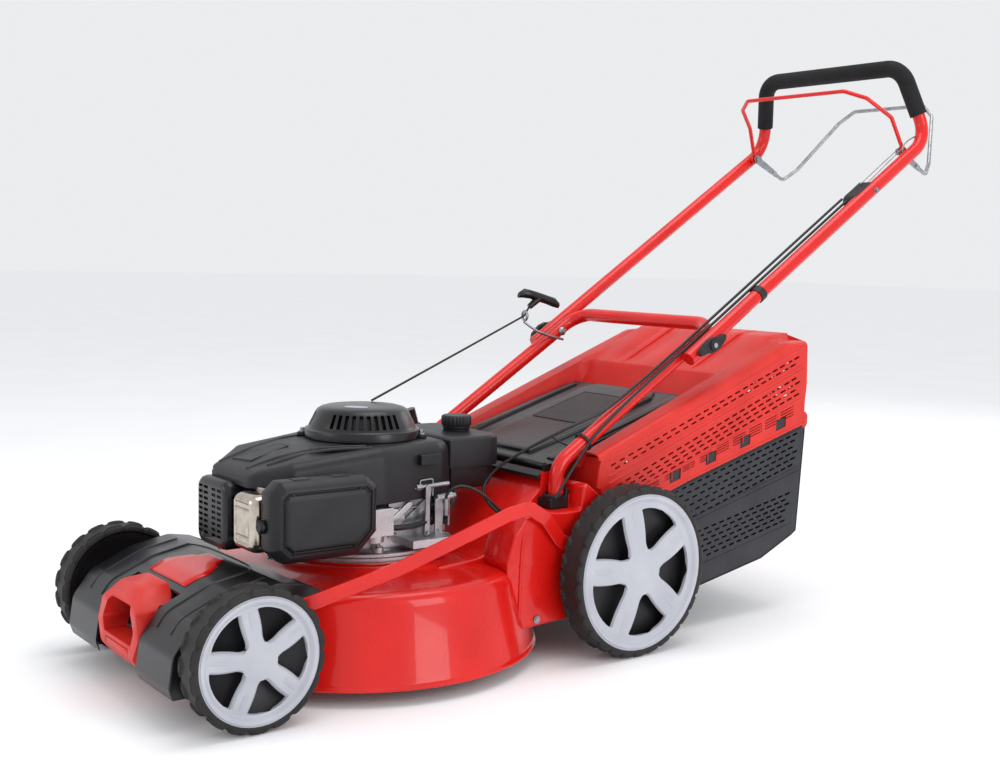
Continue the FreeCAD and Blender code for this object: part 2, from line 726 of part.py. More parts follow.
def make_chassis_bolts():
    """Screws of the handle feet, the engine base, the housing sides and the carry handle."""
    foot = x_rod(233, 276, RAMP_HALF_W + 0.4, LOWER_X - TUBE_R - 0.1, BOLT_R)
    shapes = [foot, mirrored(foot)]
    for index in range(3):
        angle = math.radians(40 + index * 120)
        x, y = 114 * math.cos(angle), BLADE_Y + 114 * math.sin(angle)
        shapes.append(z_rod(x, y, SEAT_Z + 8, SEAT_Z + 14, 6.5))
    side_screw = x_rod(166, 74, HOUSING_HALF_W, HOUSING_HALF_W + 3, 6)
    shapes += [side_screw, mirrored(side_screw)]
    return Part.makeCompound(shapes)


def make_rope_guide():
    """Bent wire with an eye that guides the starter rope."""
    x = GUIDE_EYE[0]
    y, z = FOLD
    stem = bent_rod([vec(-168, y, z - 16), vec(-168, y - 40, z - 8), vec(x, *GUIDE_EYE[1:])], [16], 2.5)
    ring = Part.makeTorus(9, 2.5, vec(x, GUIDE_EYE[1], GUIDE_EYE[2] + 9), Y_AXIS)
    return join([stem, ring])


def make_wing_nut():
    """Left wing nut with the fold bolt it clamps."""
    y, z = FOLD
    shank = x_rod(y, z, LOWER_X - 18, UPPER_X + 20, BOLT_R)
    head = x_rod(y, z, LOWER_X - 22, LOWER_X - TUBE_R - 1, 7.5)
    boss = x_rod(y, z, UPPER_X + TUBE_R + 0.5, UPPER_X + TUBE_R + 16, 9)
    wings = [
        prism_x([(y + sy * 4, z - 4), (y + sy * 30, z - 16), (y + sy * 34, z - 6), (y + sy * 4, z + 6)],
                UPPER_X + TUBE_R + 4, UPPER_X + TUBE_R + 13)
        for sy in (-1, 1)
    ]
    return join([shank, head, boss] + wings)


def make_starter_grip():
    """T-handle of the recoil starter with its stem."""
    x, y, z = GRIP_T
    start = vec(*GUIDE_EYE) + STEM_START
    stem = rod(start, vec(x, y, z), 5.5)
    bar = rod(vec(x - 6, y - 40, z + 10), vec(x + 6, y + 40, z - 10), 9)
    ends = [Part.makeSphere(9, vec(x - 6, y - 40, z + 10)), Part.makeSphere(9, vec(x + 6, y + 40, z - 10))]
    return join([stem, bar] + ends)


def make_starter_rope():
    """Rope from the recoil housing to its guide."""
    return rod(vec(*ROPE_EXIT), vec(*GUIDE_EYE) + vec(0, 0, 9), 2)


def make_drive_bail():
    """Red bail in front of the grip."""
    y, z = BAIL_PIVOT
    side = [vec(192, y, z), vec(182, y - 30, z + 64), vec(160, y - 80, z + 98), vec(124, y - 105, z + 112)]
    right = [vec(-point.x, point.y, point.z) for point in reversed(side)]
    wire = bent_rod(side + right, [12, 14, 14, 14, 14, 12], BAIL_R)
    eyes = [x_rod(y, z, x, x + 4, 9) for x in (-194, 190)]
    bores = [x_rod(y, z, x - 5, x + 10, BAIL_PIN_R + RUN_GAP) for x in (-194, 190)]
    return cut(join([wire] + eyes), bores)


def make_brake_bail():
    """Zinc-plated bail behind the grip, on two flat levers."""
    y, z = BAIL_PIVOT
    side = [vec(184.5, y + 52, z - 24), vec(184.5, y + 86, z - 40), vec(170, y + 116, z - 16),
            vec(120, y + 190, z + 88), vec(88, y + 203, z + 113)]
    right = [vec(-point.x, point.y, point.z) for point in reversed(side)]
    wire = bent_rod(side + right, [12, 14, 16, 14, 14, 16, 14, 12], BAIL_R)
    levers = [bar_run(vec(x, y, z), vec(x, y + 63, z - 29), 14, 3) for x in (-184.5, 184.5)]
    bores = [x_rod(y, z, x - 5, x + 5, BAIL_PIN_R + RUN_GAP) for x in (-184.5, 184.5)]
    return cut(join([wire] + levers), bores)


def make_bail_fittings():
    """Pivot bolts of the two bails."""
    y, z = BAIL_PIVOT
    shank = x_rod(y, z, 179, UPPER_X - TUBE_R - 0.1, BAIL_PIN_R)
    head = x_rod(y, z, 177.5, 180.5, 7)
    return both_sides(join([shank, head]))


def make_cable_block():
    """Cable anchor block on the left upper tube, with its screw."""
    y0, z0 = along_handle(480, UPPER_DEG)
    y1, z1 = along_handle(526, UPPER_DEG)
    block = bar_run(vec(196, y0, z0), vec(196, y1, z1), 26, 28)
    tube = rod(vec(UPPER_X, y0 - 80, z0 - 52), vec(UPPER_X, y1 + 80, z1 + 52), TUBE_R + 0.05)
    return block.cut(tube)


def make_cable_clips():
    """Band round the left upper tube that holds the cables."""
    low = vec(UPPER_X, *along_handle(151, UPPER_DEG))
    high = vec(UPPER_X, *along_handle(165, UPPER_DEG))
    return rod(low, high, TUBE_R + 1.8).cut(rod(low, high, TUBE_R + 0.05))


def cable_on_tube(cable, distance, degrees):
    x, rise = cable
    return vec(x, *along_handle(distance, degrees, rise))


def make_upper_cables():
    """Both control cables from the anchor block to just past the fold."""
    cables = []
    for cable in (DRIVE_CABLE, BRAKE_CABLE):
        low, high = (cable_on_tube(cable, place, UPPER_DEG) for place in (-60, 470))
        cables.append(rod(low, high, CABLE_R))
    return Part.makeCompound(cables)


def make_lower_cables():
    """Control cables from the fold down to the deck and the engine."""
    brake = [cable_on_tube(BRAKE_CABLE, -60, UPPER_DEG), cable_on_tube(BRAKE_CABLE, -225, UPPER_DEG),
             vec(182, 292, 378), vec(168, 246, 358), vec(136, 208, 330), vec(102, 166, 294),
             vec(104, 136, 254), vec(140, 154, 230)]
    drive = [cable_on_tube(DRIVE_CABLE, -60, UPPER_DEG), cable_on_tube(DRIVE_CABLE, -250, UPPER_DEG),
             vec(208, 248, 306), vec(214, 208, 262)]
    engine = [vec(129, 56, 262.6), vec(129, 57, 274), vec(136, 84, 284), vec(150, 120, 264),
              vec(153, 146, 236)]
    solids = []
    for route in (brake, drive, engine):
        radii = []
        for index in range(1, len(route) - 1):
            back = route[index - 1] - route[index]
            ahead = route[index + 1] - route[index]
            shorter = min(back.Length, ahead.Length)
            radii.append(min(0.45 * shorter * math.tan(back.getAngle(ahead) / 2), 200.0))
        path = round_path(route, radii)
        tube = swept(path, CABLE_R)
        print("cable radii", [round(radius) for radius in radii],
              "volume ratio", round(tube.Volume / (path.Length * math.pi * CABLE_R ** 2), 4))
        solids.append(tube)
    return Part.makeCompound(solids)


# ---------------------------------------------------------------- flap and grass catcher

def make_rear_flap():
    """Sprung flap that lies on the catcher, with its hinge barrel and ribs."""
    y, z = FLAP_HINGE
    length = 340
    angle = math.radians(17)
    plate = box(-FLAP_HALF_W, FLAP_HALF_W, y + 2.5, y + length, z + 1.5, z + 5.5)
    rim = [box(x, x + 6, y + 9, y + length, z - 4, z + 9) for x in (-FLAP_HALF_W, FLAP_HALF_W - 6)]
    end = box(-FLAP_HALF_W, FLAP_HALF_W, y + length - 6, y + length, z - 4, z + 9)
    ribs = [box(x - 2, x + 2, y + 20, y + length - 5, z + 5, z + 8) for x in range(-120, 121, 40)]
    barrel = x_rod(y, z, -FLAP_HALF_W, FLAP_HALF_W, 7)
    flap = join([plate, end, barrel] + rim + ribs)
    flap = cut(flap, [x_rod(y, z, -FLAP_HALF_W - 1, FLAP_HALF_W + 1, 3 + RUN_GAP)])
    flap.rotate(vec(0, y, z), X_AXIS, math.degrees(angle))
    return flap


def bag_side_outline():
    """Side view of the whole catcher at its side walls."""
    return [
        (304, 268), (292, 272), (286, 302), (300, 326), (743, 497), (800, 500), (812, 346),
        (804, 330), (792, 147), (700, 106), (544, 77), (440, 74), (404, 96), (386, 158),
        (352, 196), (310, 200), (304, 210),
    ]


def bag_centre_outline():
    """Side view of the catcher in its middle, lower in front for the flap."""
    return [
        (304, 268), (298, 276), (300, 300), (585, 388), (612, 440), (745, 506), (806, 512),
        (812, 346), (804, 330), (792, 147), (700, 106), (544, 77), (440, 74), (404, 96),
        (386, 158), (352, 196), (310, 200), (304, 210),
    ]


def shrunk(outline, amount):
    """The outline drawn in by an even thickness."""
    wire = Part.makePolygon([vec(0, y, z) for y, z in outline + outline[:1]])
    return Part.Face(wire).makeOffset2D(-amount, 2)


def bag_block(inset):
    side = shrunk(bag_side_outline(), inset + 0.01)
    middle = shrunk(bag_centre_outline(), inset + 0.01)
    half = BAG_HALF_W - inset
    recess = FLAP_HALF_W + 8 - inset
    sides = side.translated(vec(-half, 0, 0)).extrude(vec(2 * half, 0, 0))
    channel = box(-recess - 2 * inset, recess + 2 * inset, 200, 900, 200, 700)
    core = middle.translated(vec(-recess - 2 * inset, 0, 0)).extrude(vec(2 * recess + 4 * inset, 0, 0))
    return sides.cut(channel).fuse(core).removeSplitter()


def bag_seam_block(above):
    """Everything above or below the seam between the catcher's two shells."""
    seam = [(200, 236), (404, 236), (504, 267), (795, 346), (900, 346)]
    top = [(900, 700), (200, 700)] if above else [(900, 0), (200, 0)]
    gap = 0.15 if above else -0.15
    return prism_x([(y, z + gap) for y, z in seam] + top, -300, 300)


def bag_slots(rows, first, count, drop):
    """Slots through both side walls, in rows along the seam's slope."""
    shapes = []
    for row in range(rows):
        for index in range(count):
            y = first + index * 27 + row * 8
            z = 0.26 * (y - 504) + 267 + drop(row)
            slot = box(-BAG_HALF_W - 5, BAG_HALF_W + 5, y, y + 19, z, z + 6)
            shapes.append(slot)
    return shapes


def make_bag_upper_shell():
    body = bag_block(0).cut(bag_block(BAG_WALL)).common(bag_seam_block(True))
    mouth = box(-140, 140, 280, 330, 214, 262)
    slots = bag_slots(4, 400, 14, lambda row: 34 + row * 24)
    return body.cut([mouth] + slots)


def make_bag_lower_shell():
    body = bag_block(0).cut(bag_block(BAG_WALL)).common(bag_seam_block(False))
    mouth = box(-140, 140, 280, 330, 214, 262)
    slots = bag_slots(3, 520, 9, lambda row: -44 - row * 34)
    return body.cut([mouth] + slots)


# ---------------------------------------------------------------- assembly

def build_nodes():
    nodes = {
        "deck_shell": make_deck_shell(),
        "rear_support": make_rear_support(),
        "front_cover": make_front_cover(),
        "carry_handle": make_carry_handle(),
        "axle_bearings": make_axle_bearings(),
        "height_quadrant": make_height_quadrant(),
        "chassis_bolts": make_chassis_bolts(),
        "lower_handle": make_lower_handle(),
        "handle_brackets": make_handle_brackets(),
        "handle_saddles": make_handle_saddles(),
        "rope_guide": make_rope_guide(),
        "starter_rope": make_starter_rope(),
        "lower_cables": make_lower_cables(),
        "crankcase": make_crankcase(),
        "valve_cover": make_valve_cover(),
        "engine_shroud": make_engine_shroud(),
        "recoil_housing": make_recoil_housing(),
        "fuel_tank": make_fuel_tank(),
        "air_filter_cover": make_air_filter_cover(),
        "carburettor": make_carburettor(),
        "muffler": make_muffler(),
        "muffler_guard": make_muffler_guard(),
        "control_bracket": make_control_bracket(),
        "drive_belt": make_drive_belt(),
        "gearbox": make_gearbox(),
        "gearbox_pulley": make_gearbox_pulley(),
        "front_axle": make_front_axle(),
        "rear_axle": make_rear_axle(),
        "height_link_bar": make_height_link_bar(),
        "height_lever": make_height_lever(),
        "crankshaft": make_crankshaft(),
        "blade": make_blade(),
        "blade_bolt": make_blade_bolt(),
        "fuel_cap": make_fuel_cap(),
        "upper_handle": make_upper_handle(),
        "handle_grip": make_handle_grip(),
        "cable_block": make_cable_block(),
        "cable_clips": make_cable_clips(),
        "bail_fittings": make_bail_fittings(),
        "upper_cables": make_upper_cables(),
        "drive_bail": make_drive_bail(),
        "brake_bail": make_brake_bail(),
        "wing_nut_left": make_wing_nut(),
        "wing_nut_right": mirrored(make_wing_nut()),
        "starter_grip": make_starter_grip(),
        "rear_flap": make_rear_flap(),
        "bag_upper_shell": make_bag_upper_shell(),
        "bag_lower_shell": make_bag_lower_shell(),
    }
    for side, left in (("left", True), ("right", False)):
        nodes.update(wheel_nodes("front_" + side, FRONT_WHEEL_R, FRONT_AXLE_Y, FRONT_FACE_X,
                                 FRONT_TYRE_W, 6, 20, left))
        nodes.update(wheel_nodes("rear_" + side, REAR_WHEEL_R, REAR_AXLE_Y, REAR_FACE_X,
                                 REAR_TYRE_W, 7, 30, left))
    return nodes


def write_parts(nodes):
    """Centre the footprint on the origin and write one file for each node."""
    whole = Part.makeCompound(list(nodes.values())).optimalBoundingBox(False, False)
    shift = vec(0, -(whole.YMin + whole.YMax) / 2, 0)
    print("shift", round(shift.y, 3), "size", round(whole.XLength, 1), round(whole.YLength, 1),
          round(whole.ZLength, 1), "lowest", round(whole.ZMin, 3))
    os.makedirs("parts", exist_ok=True)
    for name, shape in nodes.items():
        shape.translated(shift).exportStep("parts/" + name + ".step")


write_parts(build_nodes())
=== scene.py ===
import json
import math

import bpy
import bmesh
from mathutils import Matrix, Vector
from mathutils.geometry import delaunay_2d_cdt


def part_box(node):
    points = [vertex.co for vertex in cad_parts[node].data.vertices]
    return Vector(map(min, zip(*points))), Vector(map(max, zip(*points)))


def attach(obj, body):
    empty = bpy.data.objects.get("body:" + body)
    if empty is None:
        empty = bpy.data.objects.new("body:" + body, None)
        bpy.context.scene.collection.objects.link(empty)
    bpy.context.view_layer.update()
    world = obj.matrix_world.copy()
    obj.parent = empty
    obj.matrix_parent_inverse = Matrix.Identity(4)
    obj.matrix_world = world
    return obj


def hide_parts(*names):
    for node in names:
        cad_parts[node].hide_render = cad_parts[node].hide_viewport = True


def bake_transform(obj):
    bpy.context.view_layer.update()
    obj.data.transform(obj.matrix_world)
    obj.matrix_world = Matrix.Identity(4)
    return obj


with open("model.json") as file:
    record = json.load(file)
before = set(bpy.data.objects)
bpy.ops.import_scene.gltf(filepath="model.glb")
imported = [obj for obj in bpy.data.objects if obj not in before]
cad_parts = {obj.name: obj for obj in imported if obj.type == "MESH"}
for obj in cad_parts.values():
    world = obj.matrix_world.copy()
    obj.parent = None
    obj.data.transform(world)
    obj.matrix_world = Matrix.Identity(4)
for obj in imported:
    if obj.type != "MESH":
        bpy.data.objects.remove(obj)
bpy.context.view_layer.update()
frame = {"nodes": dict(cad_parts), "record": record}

# A petrol lawn mower.  Sizes below are millimetres in the mower's own layout: -Y is the way it
# travels, +X its left side, +Z up, and y = 0 lies between the axles.  at() turns them into the
# frame's metres; the shift along Y comes from the rear wheel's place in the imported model.
REAR_AXLE = (336.0, 140.0)
FRONT_AXLE = (-330.0, 100.0)
tyre_low, tyre_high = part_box("rear_left_tyre")
SHIFT = (tyre_low[1] + tyre_high[1]) / 2 - REAR_AXLE[0] / 1000

BLADE_Y = -20.0
FOLD = (537.0, 499.0)
UPPER_DEG = 33.0
LOWER_DEG = 32.3
TUBE_R = 12.5
LOWER_X = 184.0
UPPER_X = 209.6
BAIL_PIVOT = (1092.0, 864.0)
FLAP_HINGE = (238.0, 302.0)
FLAP_DEG = 17.0
SIDES = (-1, 1)
DECK_TOP = 170.0
HALF_DECK = 165.0
CABLE_R = 2.5
CABLE_LANES = ((189.5, 16.5), (197.0, 11.5))


def at(x, y, z):
    return Vector((x / 1000, y / 1000 + SHIFT, z / 1000))


def along_handle(distance, degrees, rise=0.0):
    """(y, z) at a distance from the fold bolts along a tube, and a rise square to it."""
    angle = math.radians(degrees)
    y = FOLD[0] + distance * math.cos(angle) - rise * math.sin(angle)
    z = FOLD[1] + distance * math.sin(angle) + rise * math.cos(angle)
    return y, z


def polar(radius, degrees, centre=(0.0, BLADE_Y)):
    """A point of a circle; the centre is the crankshaft's unless another is given."""
    angle = math.radians(degrees)
    return centre[0] + radius * math.cos(angle), centre[1] + radius * math.sin(angle)


def placed(point, degrees):
    """Turns a shape made at the layout's origin about X and carries it to a point."""
    turn = Matrix.Rotation(math.radians(degrees), 4, "X")
    return Matrix.Translation(at(*point)) @ turn @ Matrix.Translation(-at(0, 0, 0))


# ---------------------------------------------------------------- materials

def new_material(name, color, roughness, metallic=0.0, coat=0.0, coat_roughness=0.05, specular=0.5):
    material = bpy.data.materials.new(name)
    material.use_nodes = True
    shader = material.node_tree.nodes["Principled BSDF"]
    shader.inputs["Base Color"].default_value = (*color, 1)
    shader.inputs["Roughness"].default_value = roughness
    shader.inputs["Metallic"].default_value = metallic
    shader.inputs["Coat Weight"].default_value = coat
    shader.inputs["Coat Roughness"].default_value = coat_roughness
    shader.inputs["Specular IOR Level"].default_value = specular
    return material


def add_noise(material, scale, detail=3.0, stretch=(1, 1, 1)):
    """A 3-D noise in object space, which is the frame's own metres."""
    nodes, links = material.node_tree.nodes, material.node_tree.links
    coordinates = nodes.new("ShaderNodeTexCoord")
    mapping = nodes.new("ShaderNodeMapping")
    mapping.inputs["Scale"].default_value = stretch
    noise = nodes.new("ShaderNodeTexNoise")
    noise.inputs["Scale"].default_value = scale
    noise.inputs["Detail"].default_value = detail
    links.new(coordinates.outputs["Object"], mapping.inputs["Vector"])
    links.new(mapping.outputs["Vector"], noise.inputs["Vector"])
    return noise.outputs["Fac"]


def vary_color(material, fac, dark, light, low=0.35, high=0.65):
    nodes, links = material.node_tree.nodes, material.node_tree.links
    ramp = nodes.new("ShaderNodeValToRGB")
    ramp.color_ramp.elements[0].position = low
    ramp.color_ramp.elements[1].position = high
    ramp.color_ramp.elements[0].color = (*dark, 1)
    ramp.color_ramp.elements[1].color = (*light, 1)
    links.new(fac, ramp.inputs["Fac"])
    links.new(ramp.outputs["Color"], nodes["Principled BSDF"].inputs["Base Color"])


def vary_roughness(material, fac, low, high):
    nodes, links = material.node_tree.nodes, material.node_tree.links
    spread = nodes.new("ShaderNodeMapRange")
    spread.inputs["To Min"].default_value = low
    spread.inputs["To Max"].default_value = high
    links.new(fac, spread.inputs["Value"])
    links.new(spread.outputs["Result"], nodes["Principled BSDF"].inputs["Roughness"])


def add_bump(material, fac, strength, distance):
    nodes, links = material.node_tree.nodes, material.node_tree.links
    bump = nodes.new("ShaderNodeBump")
    bump.inputs["Strength"].default_value = strength
    bump.inputs["Distance"].default_value = distance
    links.new(fac, bump.inputs["Height"])
    previous = nodes["Principled BSDF"].inputs["Normal"]
    if previous.is_linked:
        links.new(previous.links[0].from_socket, bump.inputs["Normal"])
    links.new(bump.outputs["Normal"], previous)


def painted(name, dark, light):
    """Powder coat under a clear gloss: faint orange peel and soft colour drift."""
    material = new_material(name, light, 0.3, coat=0.4, coat_roughness=0.04, specular=0.25)
    vary_color(material, add_noise(material, 9), dark, light)
    vary_roughness(material, add_noise(material, 30), 0.22, 0.36)
    add_bump(material, add_noise(material, 180, 1), 0.03, 0.0002)
    return material


def moulded(name, dark, light, low, high, grain=1500.0, strength=0.12, coat=0.0):
    """Injection-moulded plastic with a fine spark-eroded grain."""
    material = new_material(name, light, (low + high) / 2, coat=coat, coat_roughness=0.2, specular=0.35)
    vary_color(material, add_noise(material, 14), dark, light)
    vary_roughness(material, add_noise(material, 60), low, high)
    add_bump(material, add_noise(material, grain, 4), strength, 0.0004)
    return material


def metal(name, dark, light, low, high, scale=60.0, stretch=(1, 1, 1), strength=0.004):
    material = new_material(name, light, (low + high) / 2, metallic=1.0)
    grain = add_noise(material, scale, 5, stretch)
    vary_color(material, grain, dark, light)
    vary_roughness(material, add_noise(material, scale / 4), low, high)
    add_bump(material, grain, strength, 0.0004)
    return material


MATERIALS = {
    "red_paint": painted("red_paint", (0.60, 0.006, 0.004), (0.70, 0.010, 0.006)),
    "red_plastic": moulded("red_plastic", (0.58, 0.018, 0.012), (0.68, 0.026, 0.018), 0.34, 0.46),
    "black_plastic": moulded("black_plastic", (0.009, 0.009, 0.011), (0.015, 0.015, 0.018), 0.36, 0.5),
    "black_cover": moulded("black_cover", (0.006, 0.006, 0.007), (0.010, 0.010, 0.012), 0.26, 0.36, 600, 0.04,
                           0.15),
    "dark_panel": moulded("dark_panel", (0.004, 0.004, 0.005), (0.008, 0.008, 0.009), 0.3, 0.42),
    "bag_grey": moulded("bag_grey", (0.020, 0.020, 0.025), (0.029, 0.030, 0.036), 0.42, 0.55),
    "tyre": moulded("tyre", (0.013, 0.012, 0.012), (0.022, 0.020, 0.020), 0.5, 0.68, 700, 0.25),
    "silver_plastic": moulded("silver_plastic", (0.43, 0.44, 0.49), (0.50, 0.51, 0.56), 0.3, 0.38, 2400, 0.1),
    "foam": moulded("foam", (0.005, 0.005, 0.006), (0.011, 0.011, 0.012), 0.7, 0.9, 1100, 0.6),
    "zinc": metal("zinc", (0.28, 0.29, 0.31), (0.42, 0.43, 0.45), 0.32, 0.44),
    "steel": metal("steel", (0.30, 0.30, 0.31), (0.45, 0.45, 0.46), 0.3, 0.5),
    "aluminium": metal("aluminium", (0.44, 0.44, 0.46), (0.62, 0.62, 0.64), 0.32, 0.5, 500, (1, 1, 1), 0.1),
    "chrome": metal("chrome", (0.42, 0.37, 0.31), (0.56, 0.50, 0.43), 0.12, 0.22, 90, (1, 1, 1), 0.004),
    "black_paint": painted("black_paint", (0.008, 0.008, 0.009), (0.015, 0.015, 0.016)),
    "cable_sheath": moulded("cable_sheath", (0.010, 0.010, 0.011), (0.016, 0.016, 0.018), 0.25, 0.4, 900,
                            0.2),
    "belt": moulded("belt", (0.02, 0.02, 0.02), (0.04, 0.04, 0.04), 0.6, 0.8),
}


# ---------------------------------------------------------------- mesh helpers

def new_object(name, data):
    obj = bpy.data.objects.new(name, data)
    bpy.context.scene.collection.objects.link(obj)
    return obj


def finish_piece(obj, body, slot, replaced=(), material=None):
    """Gives a finished object its material (picked by slot unless another is named), its body, and hides the
    nodes it stands for.
    """
    obj.data.materials.clear()
    obj.data.materials.append(MATERIALS[material or slot])
    if body:
        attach(obj, body)
    if replaced:
        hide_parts(*replaced)
    return obj


def mesh_piece(name, points, faces, smooth_deg=35.0, merge=0.0):
    """A mesh object from millimetre points, shaded smooth up to an angle."""
    mesh = bpy.data.meshes.new(name)
    mesh.from_pydata([at(*point) for point in points], [], faces)
    obj = new_object(name, mesh)
    tidy_mesh(mesh, merge)
    shade(mesh, smooth_deg)
    return obj


def tidy_mesh(mesh, merge):
    work = bmesh.new()
    work.from_mesh(mesh)
    if merge:
        bmesh.ops.remove_doubles(work, verts=work.verts, dist=merge / 1000)
    bmesh.ops.recalc_face_normals(work, faces=work.faces)
    work.to_mesh(mesh)
    work.free()
    mesh.update()


def shade(mesh, smooth_deg):
    mesh.polygons.foreach_set("use_smooth", [len(face.vertices) <= 8 for face in mesh.polygons])
    mesh.set_sharp_from_angle(angle=math.radians(smooth_deg))


def add_bevel(obj, width, segments=3, angle=30.0):
    bevel = obj.modifiers.new("edge", "BEVEL")
    bevel.width = width / 1000
    bevel.segments = segments
    bevel.limit_method = "ANGLE"
    bevel.angle_limit = math.radians(angle)
    bevel.harden_normals = True
    return bevel


def thicken(obj, thickness, offset=-1):
    """Gives an open sheet a wall."""
    wall = obj.modifiers.new("thickness", "SOLIDIFY")
    wall.thickness = thickness / 1000
    wall.offset = offset
    return obj


def evaluated_mesh(obj):
    """The mesh that an object's modifiers, or a curve's bevel, make of it."""
    bpy.context.view_layer.update()
    evaluated = obj.evaluated_get(bpy.context.evaluated_depsgraph_get())
    return bpy.data.meshes.new_from_object(evaluated)


def bake(obj):
    """Applies an object's modifiers to its mesh."""
    mesh = evaluated_mesh(obj)
    obj.modifiers.clear()
    obj.data = mesh
    return obj


def joined(name, parts):
    """Several mesh objects as one, with their modifiers applied."""
    work = bmesh.new()
    for part in parts:
        bake(part)
        work.from_mesh(part.data)
    mesh = bpy.data.meshes.new(name)
    work.to_mesh(mesh)
    work.free()
    for part in parts:
        bpy.data.objects.remove(part)
    return new_object(name, mesh)


def assemble(name, parts, body, slot, replaced=(), material=None):
    """Joins parts into one finished piece."""
    return finish_piece(joined(name, parts), body, slot, replaced, material)


def block(name, x0, x1, y0, y1, z0, z1, bevel=0.0, segments=3):
    points = [(x, y, z) for x in (x0, x1) for y in (y0, y1) for z in (z0, z1)]
    faces = [(0, 1, 3, 2), (4, 6, 7, 5), (0, 4, 5, 1), (2, 3, 7, 6), (0, 2, 6, 4), (1, 5, 7, 3)]
    obj = mesh_piece(name, points, faces)
    if bevel:
        add_bevel(obj, bevel, segments)
    return obj


def prism(name, outline, axis, low, high, bevel=0.0, segments=3, angle=30.0):
    """An outline in the two other axes carried along axis (0, 1 or 2) from low to high."""
    def place(pair, height):
        values = list(pair)
        values.insert(axis, height)
        return tuple(values)
    count = len(outline)
    points = [place(pair, low) for pair in outline] + [place(pair, high) for pair in outline]
    faces = [tuple(range(count)), tuple(range(2 * count - 1, count - 1, -1))]
    faces += [(i, (i + 1) % count, count + (i + 1) % count, count + i) for i in range(count)]
    obj = mesh_piece(name, points, faces)
    if bevel:
        add_bevel(obj, bevel, segments, angle)
    return obj


def skin(name, rows, smooth_deg=35.0, merge=0.0, wrap_rows=False, wrap_columns=True, ends=False):
    """Quads over rows of points that all have the same count."""
    count = len(rows[0])
    points = [point for row in rows for point in row]
    faces = []
    for row in range(len(rows) if wrap_rows else len(rows) - 1):
        following = (row + 1) % len(rows)
        for i in range(count if wrap_columns else count - 1):
            j = (i + 1) % count
            faces.append((row * count + i, row * count + j, following * count + j, following * count + i))
    if ends:
        faces.append(tuple(range(count)))
        faces.append(tuple(range(len(points) - 1, len(points) - count - 1, -1)))
    return mesh_piece(name, points, faces, smooth_deg, merge)


def loft(name, rings, smooth_deg=35.0):
    """A solid with a flat end at its first and its last ring."""
    return skin(name, rings, smooth_deg, ends=True)


def revolve(name, profile, centre, axis, steps=96, smooth_deg=35.0):
    """A closed (radius, height) profile turned about an axis (0 for X, 2 for Z) through centre."""
    rings = []
    for step in range(steps):
        angle = 2 * math.pi * step / steps
        c, s = math.cos(angle), math.sin(angle)
        if axis == 2:
            ring = [(centre[0] + r * c, centre[1] + r * s, centre[2] + h) for r, h in profile]
        else:
            ring = [(centre[0] + h, centre[1] + r * c, centre[2] + r * s) for r, h in profile]
        rings.append(ring)
    return skin(name, rings, smooth_deg, 0.005, wrap_rows=True)


def rounded_outline(points, radii, steps=6):
    """The corners of a closed 2-D outline rounded by tangent arcs."""
    result = []
    count = len(points)
    for index, (corner, radius) in enumerate(zip(points, radii)):
        here = Vector(corner)
        back = (Vector(points[index - 1]) - here).normalized()
        ahead = (Vector(points[(index + 1) % count]) - here).normalized()
        if radius <= 0:
            result.append(tuple(here))
            continue
        half = back.angle(ahead) / 2
        centre = here + (back + ahead).normalized() * (radius / math.sin(half))
        first = here + back * (radius / math.tan(half)) - centre
        sweep = math.pi - 2 * half
        turn = 1 if back.x * ahead.y - back.y * ahead.x < 0 else -1
        for step in range(steps + 1):
            spin = Matrix.Rotation(turn * sweep * step / steps, 2)
            result.append(tuple(centre + spin @ first))
    return result


def curve_piece(name, spline_type, points, radius, resolution=6):
    """A round wire or tube along points, as a mesh."""
    curve = bpy.data.curves.new(name, "CURVE")
    curve.dimensions = "3D"
    curve.bevel_depth = radius / 1000
    curve.bevel_resolution = resolution
    curve.resolution_u = 12
    curve.use_fill_caps = True
    spline = curve.splines.new(spline_type)
    spline.points.add(len(points) - 1)
    for target, point in zip(spline.points, points):
        target.co = (*at(*point), 1)
    if spline_type == "NURBS":
        spline.order_u = 3
        spline.use_endpoint_u = True
    holder = new_object(name + "_path", curve)
    mesh = evaluated_mesh(holder)
    bpy.data.objects.remove(holder)
    mesh.name = name
    shade(mesh, 40)
    return new_object(name, mesh)


def bent_path(points, radii, steps=10):
    """Points along a bent metal tube: straight runs and the bender's arcs."""
    path = [Vector(points[0])]
    for index, radius in enumerate(radii, start=1):
        corner = Vector(points[index])
        back = (Vector(points[index - 1]) - corner).normalized()
        ahead = (Vector(points[index + 1]) - corner).normalized()
        half = back.angle(ahead) / 2
        centre = corner + (back + ahead).normalized() * (radius / math.sin(half))
        first = corner + back * (radius / math.tan(half)) - centre
        spin_axis = first.cross(corner - centre).normalized()
        sweep = math.pi - 2 * half
        path += [centre + Matrix.Rotation(sweep * k / steps, 3, spin_axis) @ first for k in range(steps + 1)]
    path.append(Vector(points[-1]))
    return [tuple(point) for point in path]


def mirrored_points(points):
    return [(-x, y, z) for x, y, z in reversed(points)]


def u_bend(name, side, radii, radius, resolution=8):
    """A tube or wire bent as a U: side runs up the left, and the right mirrors it."""
    path = bent_path(side + mirrored_points(side), radii + radii[::-1])
    return curve_piece(name, "POLY", path, radius, resolution)


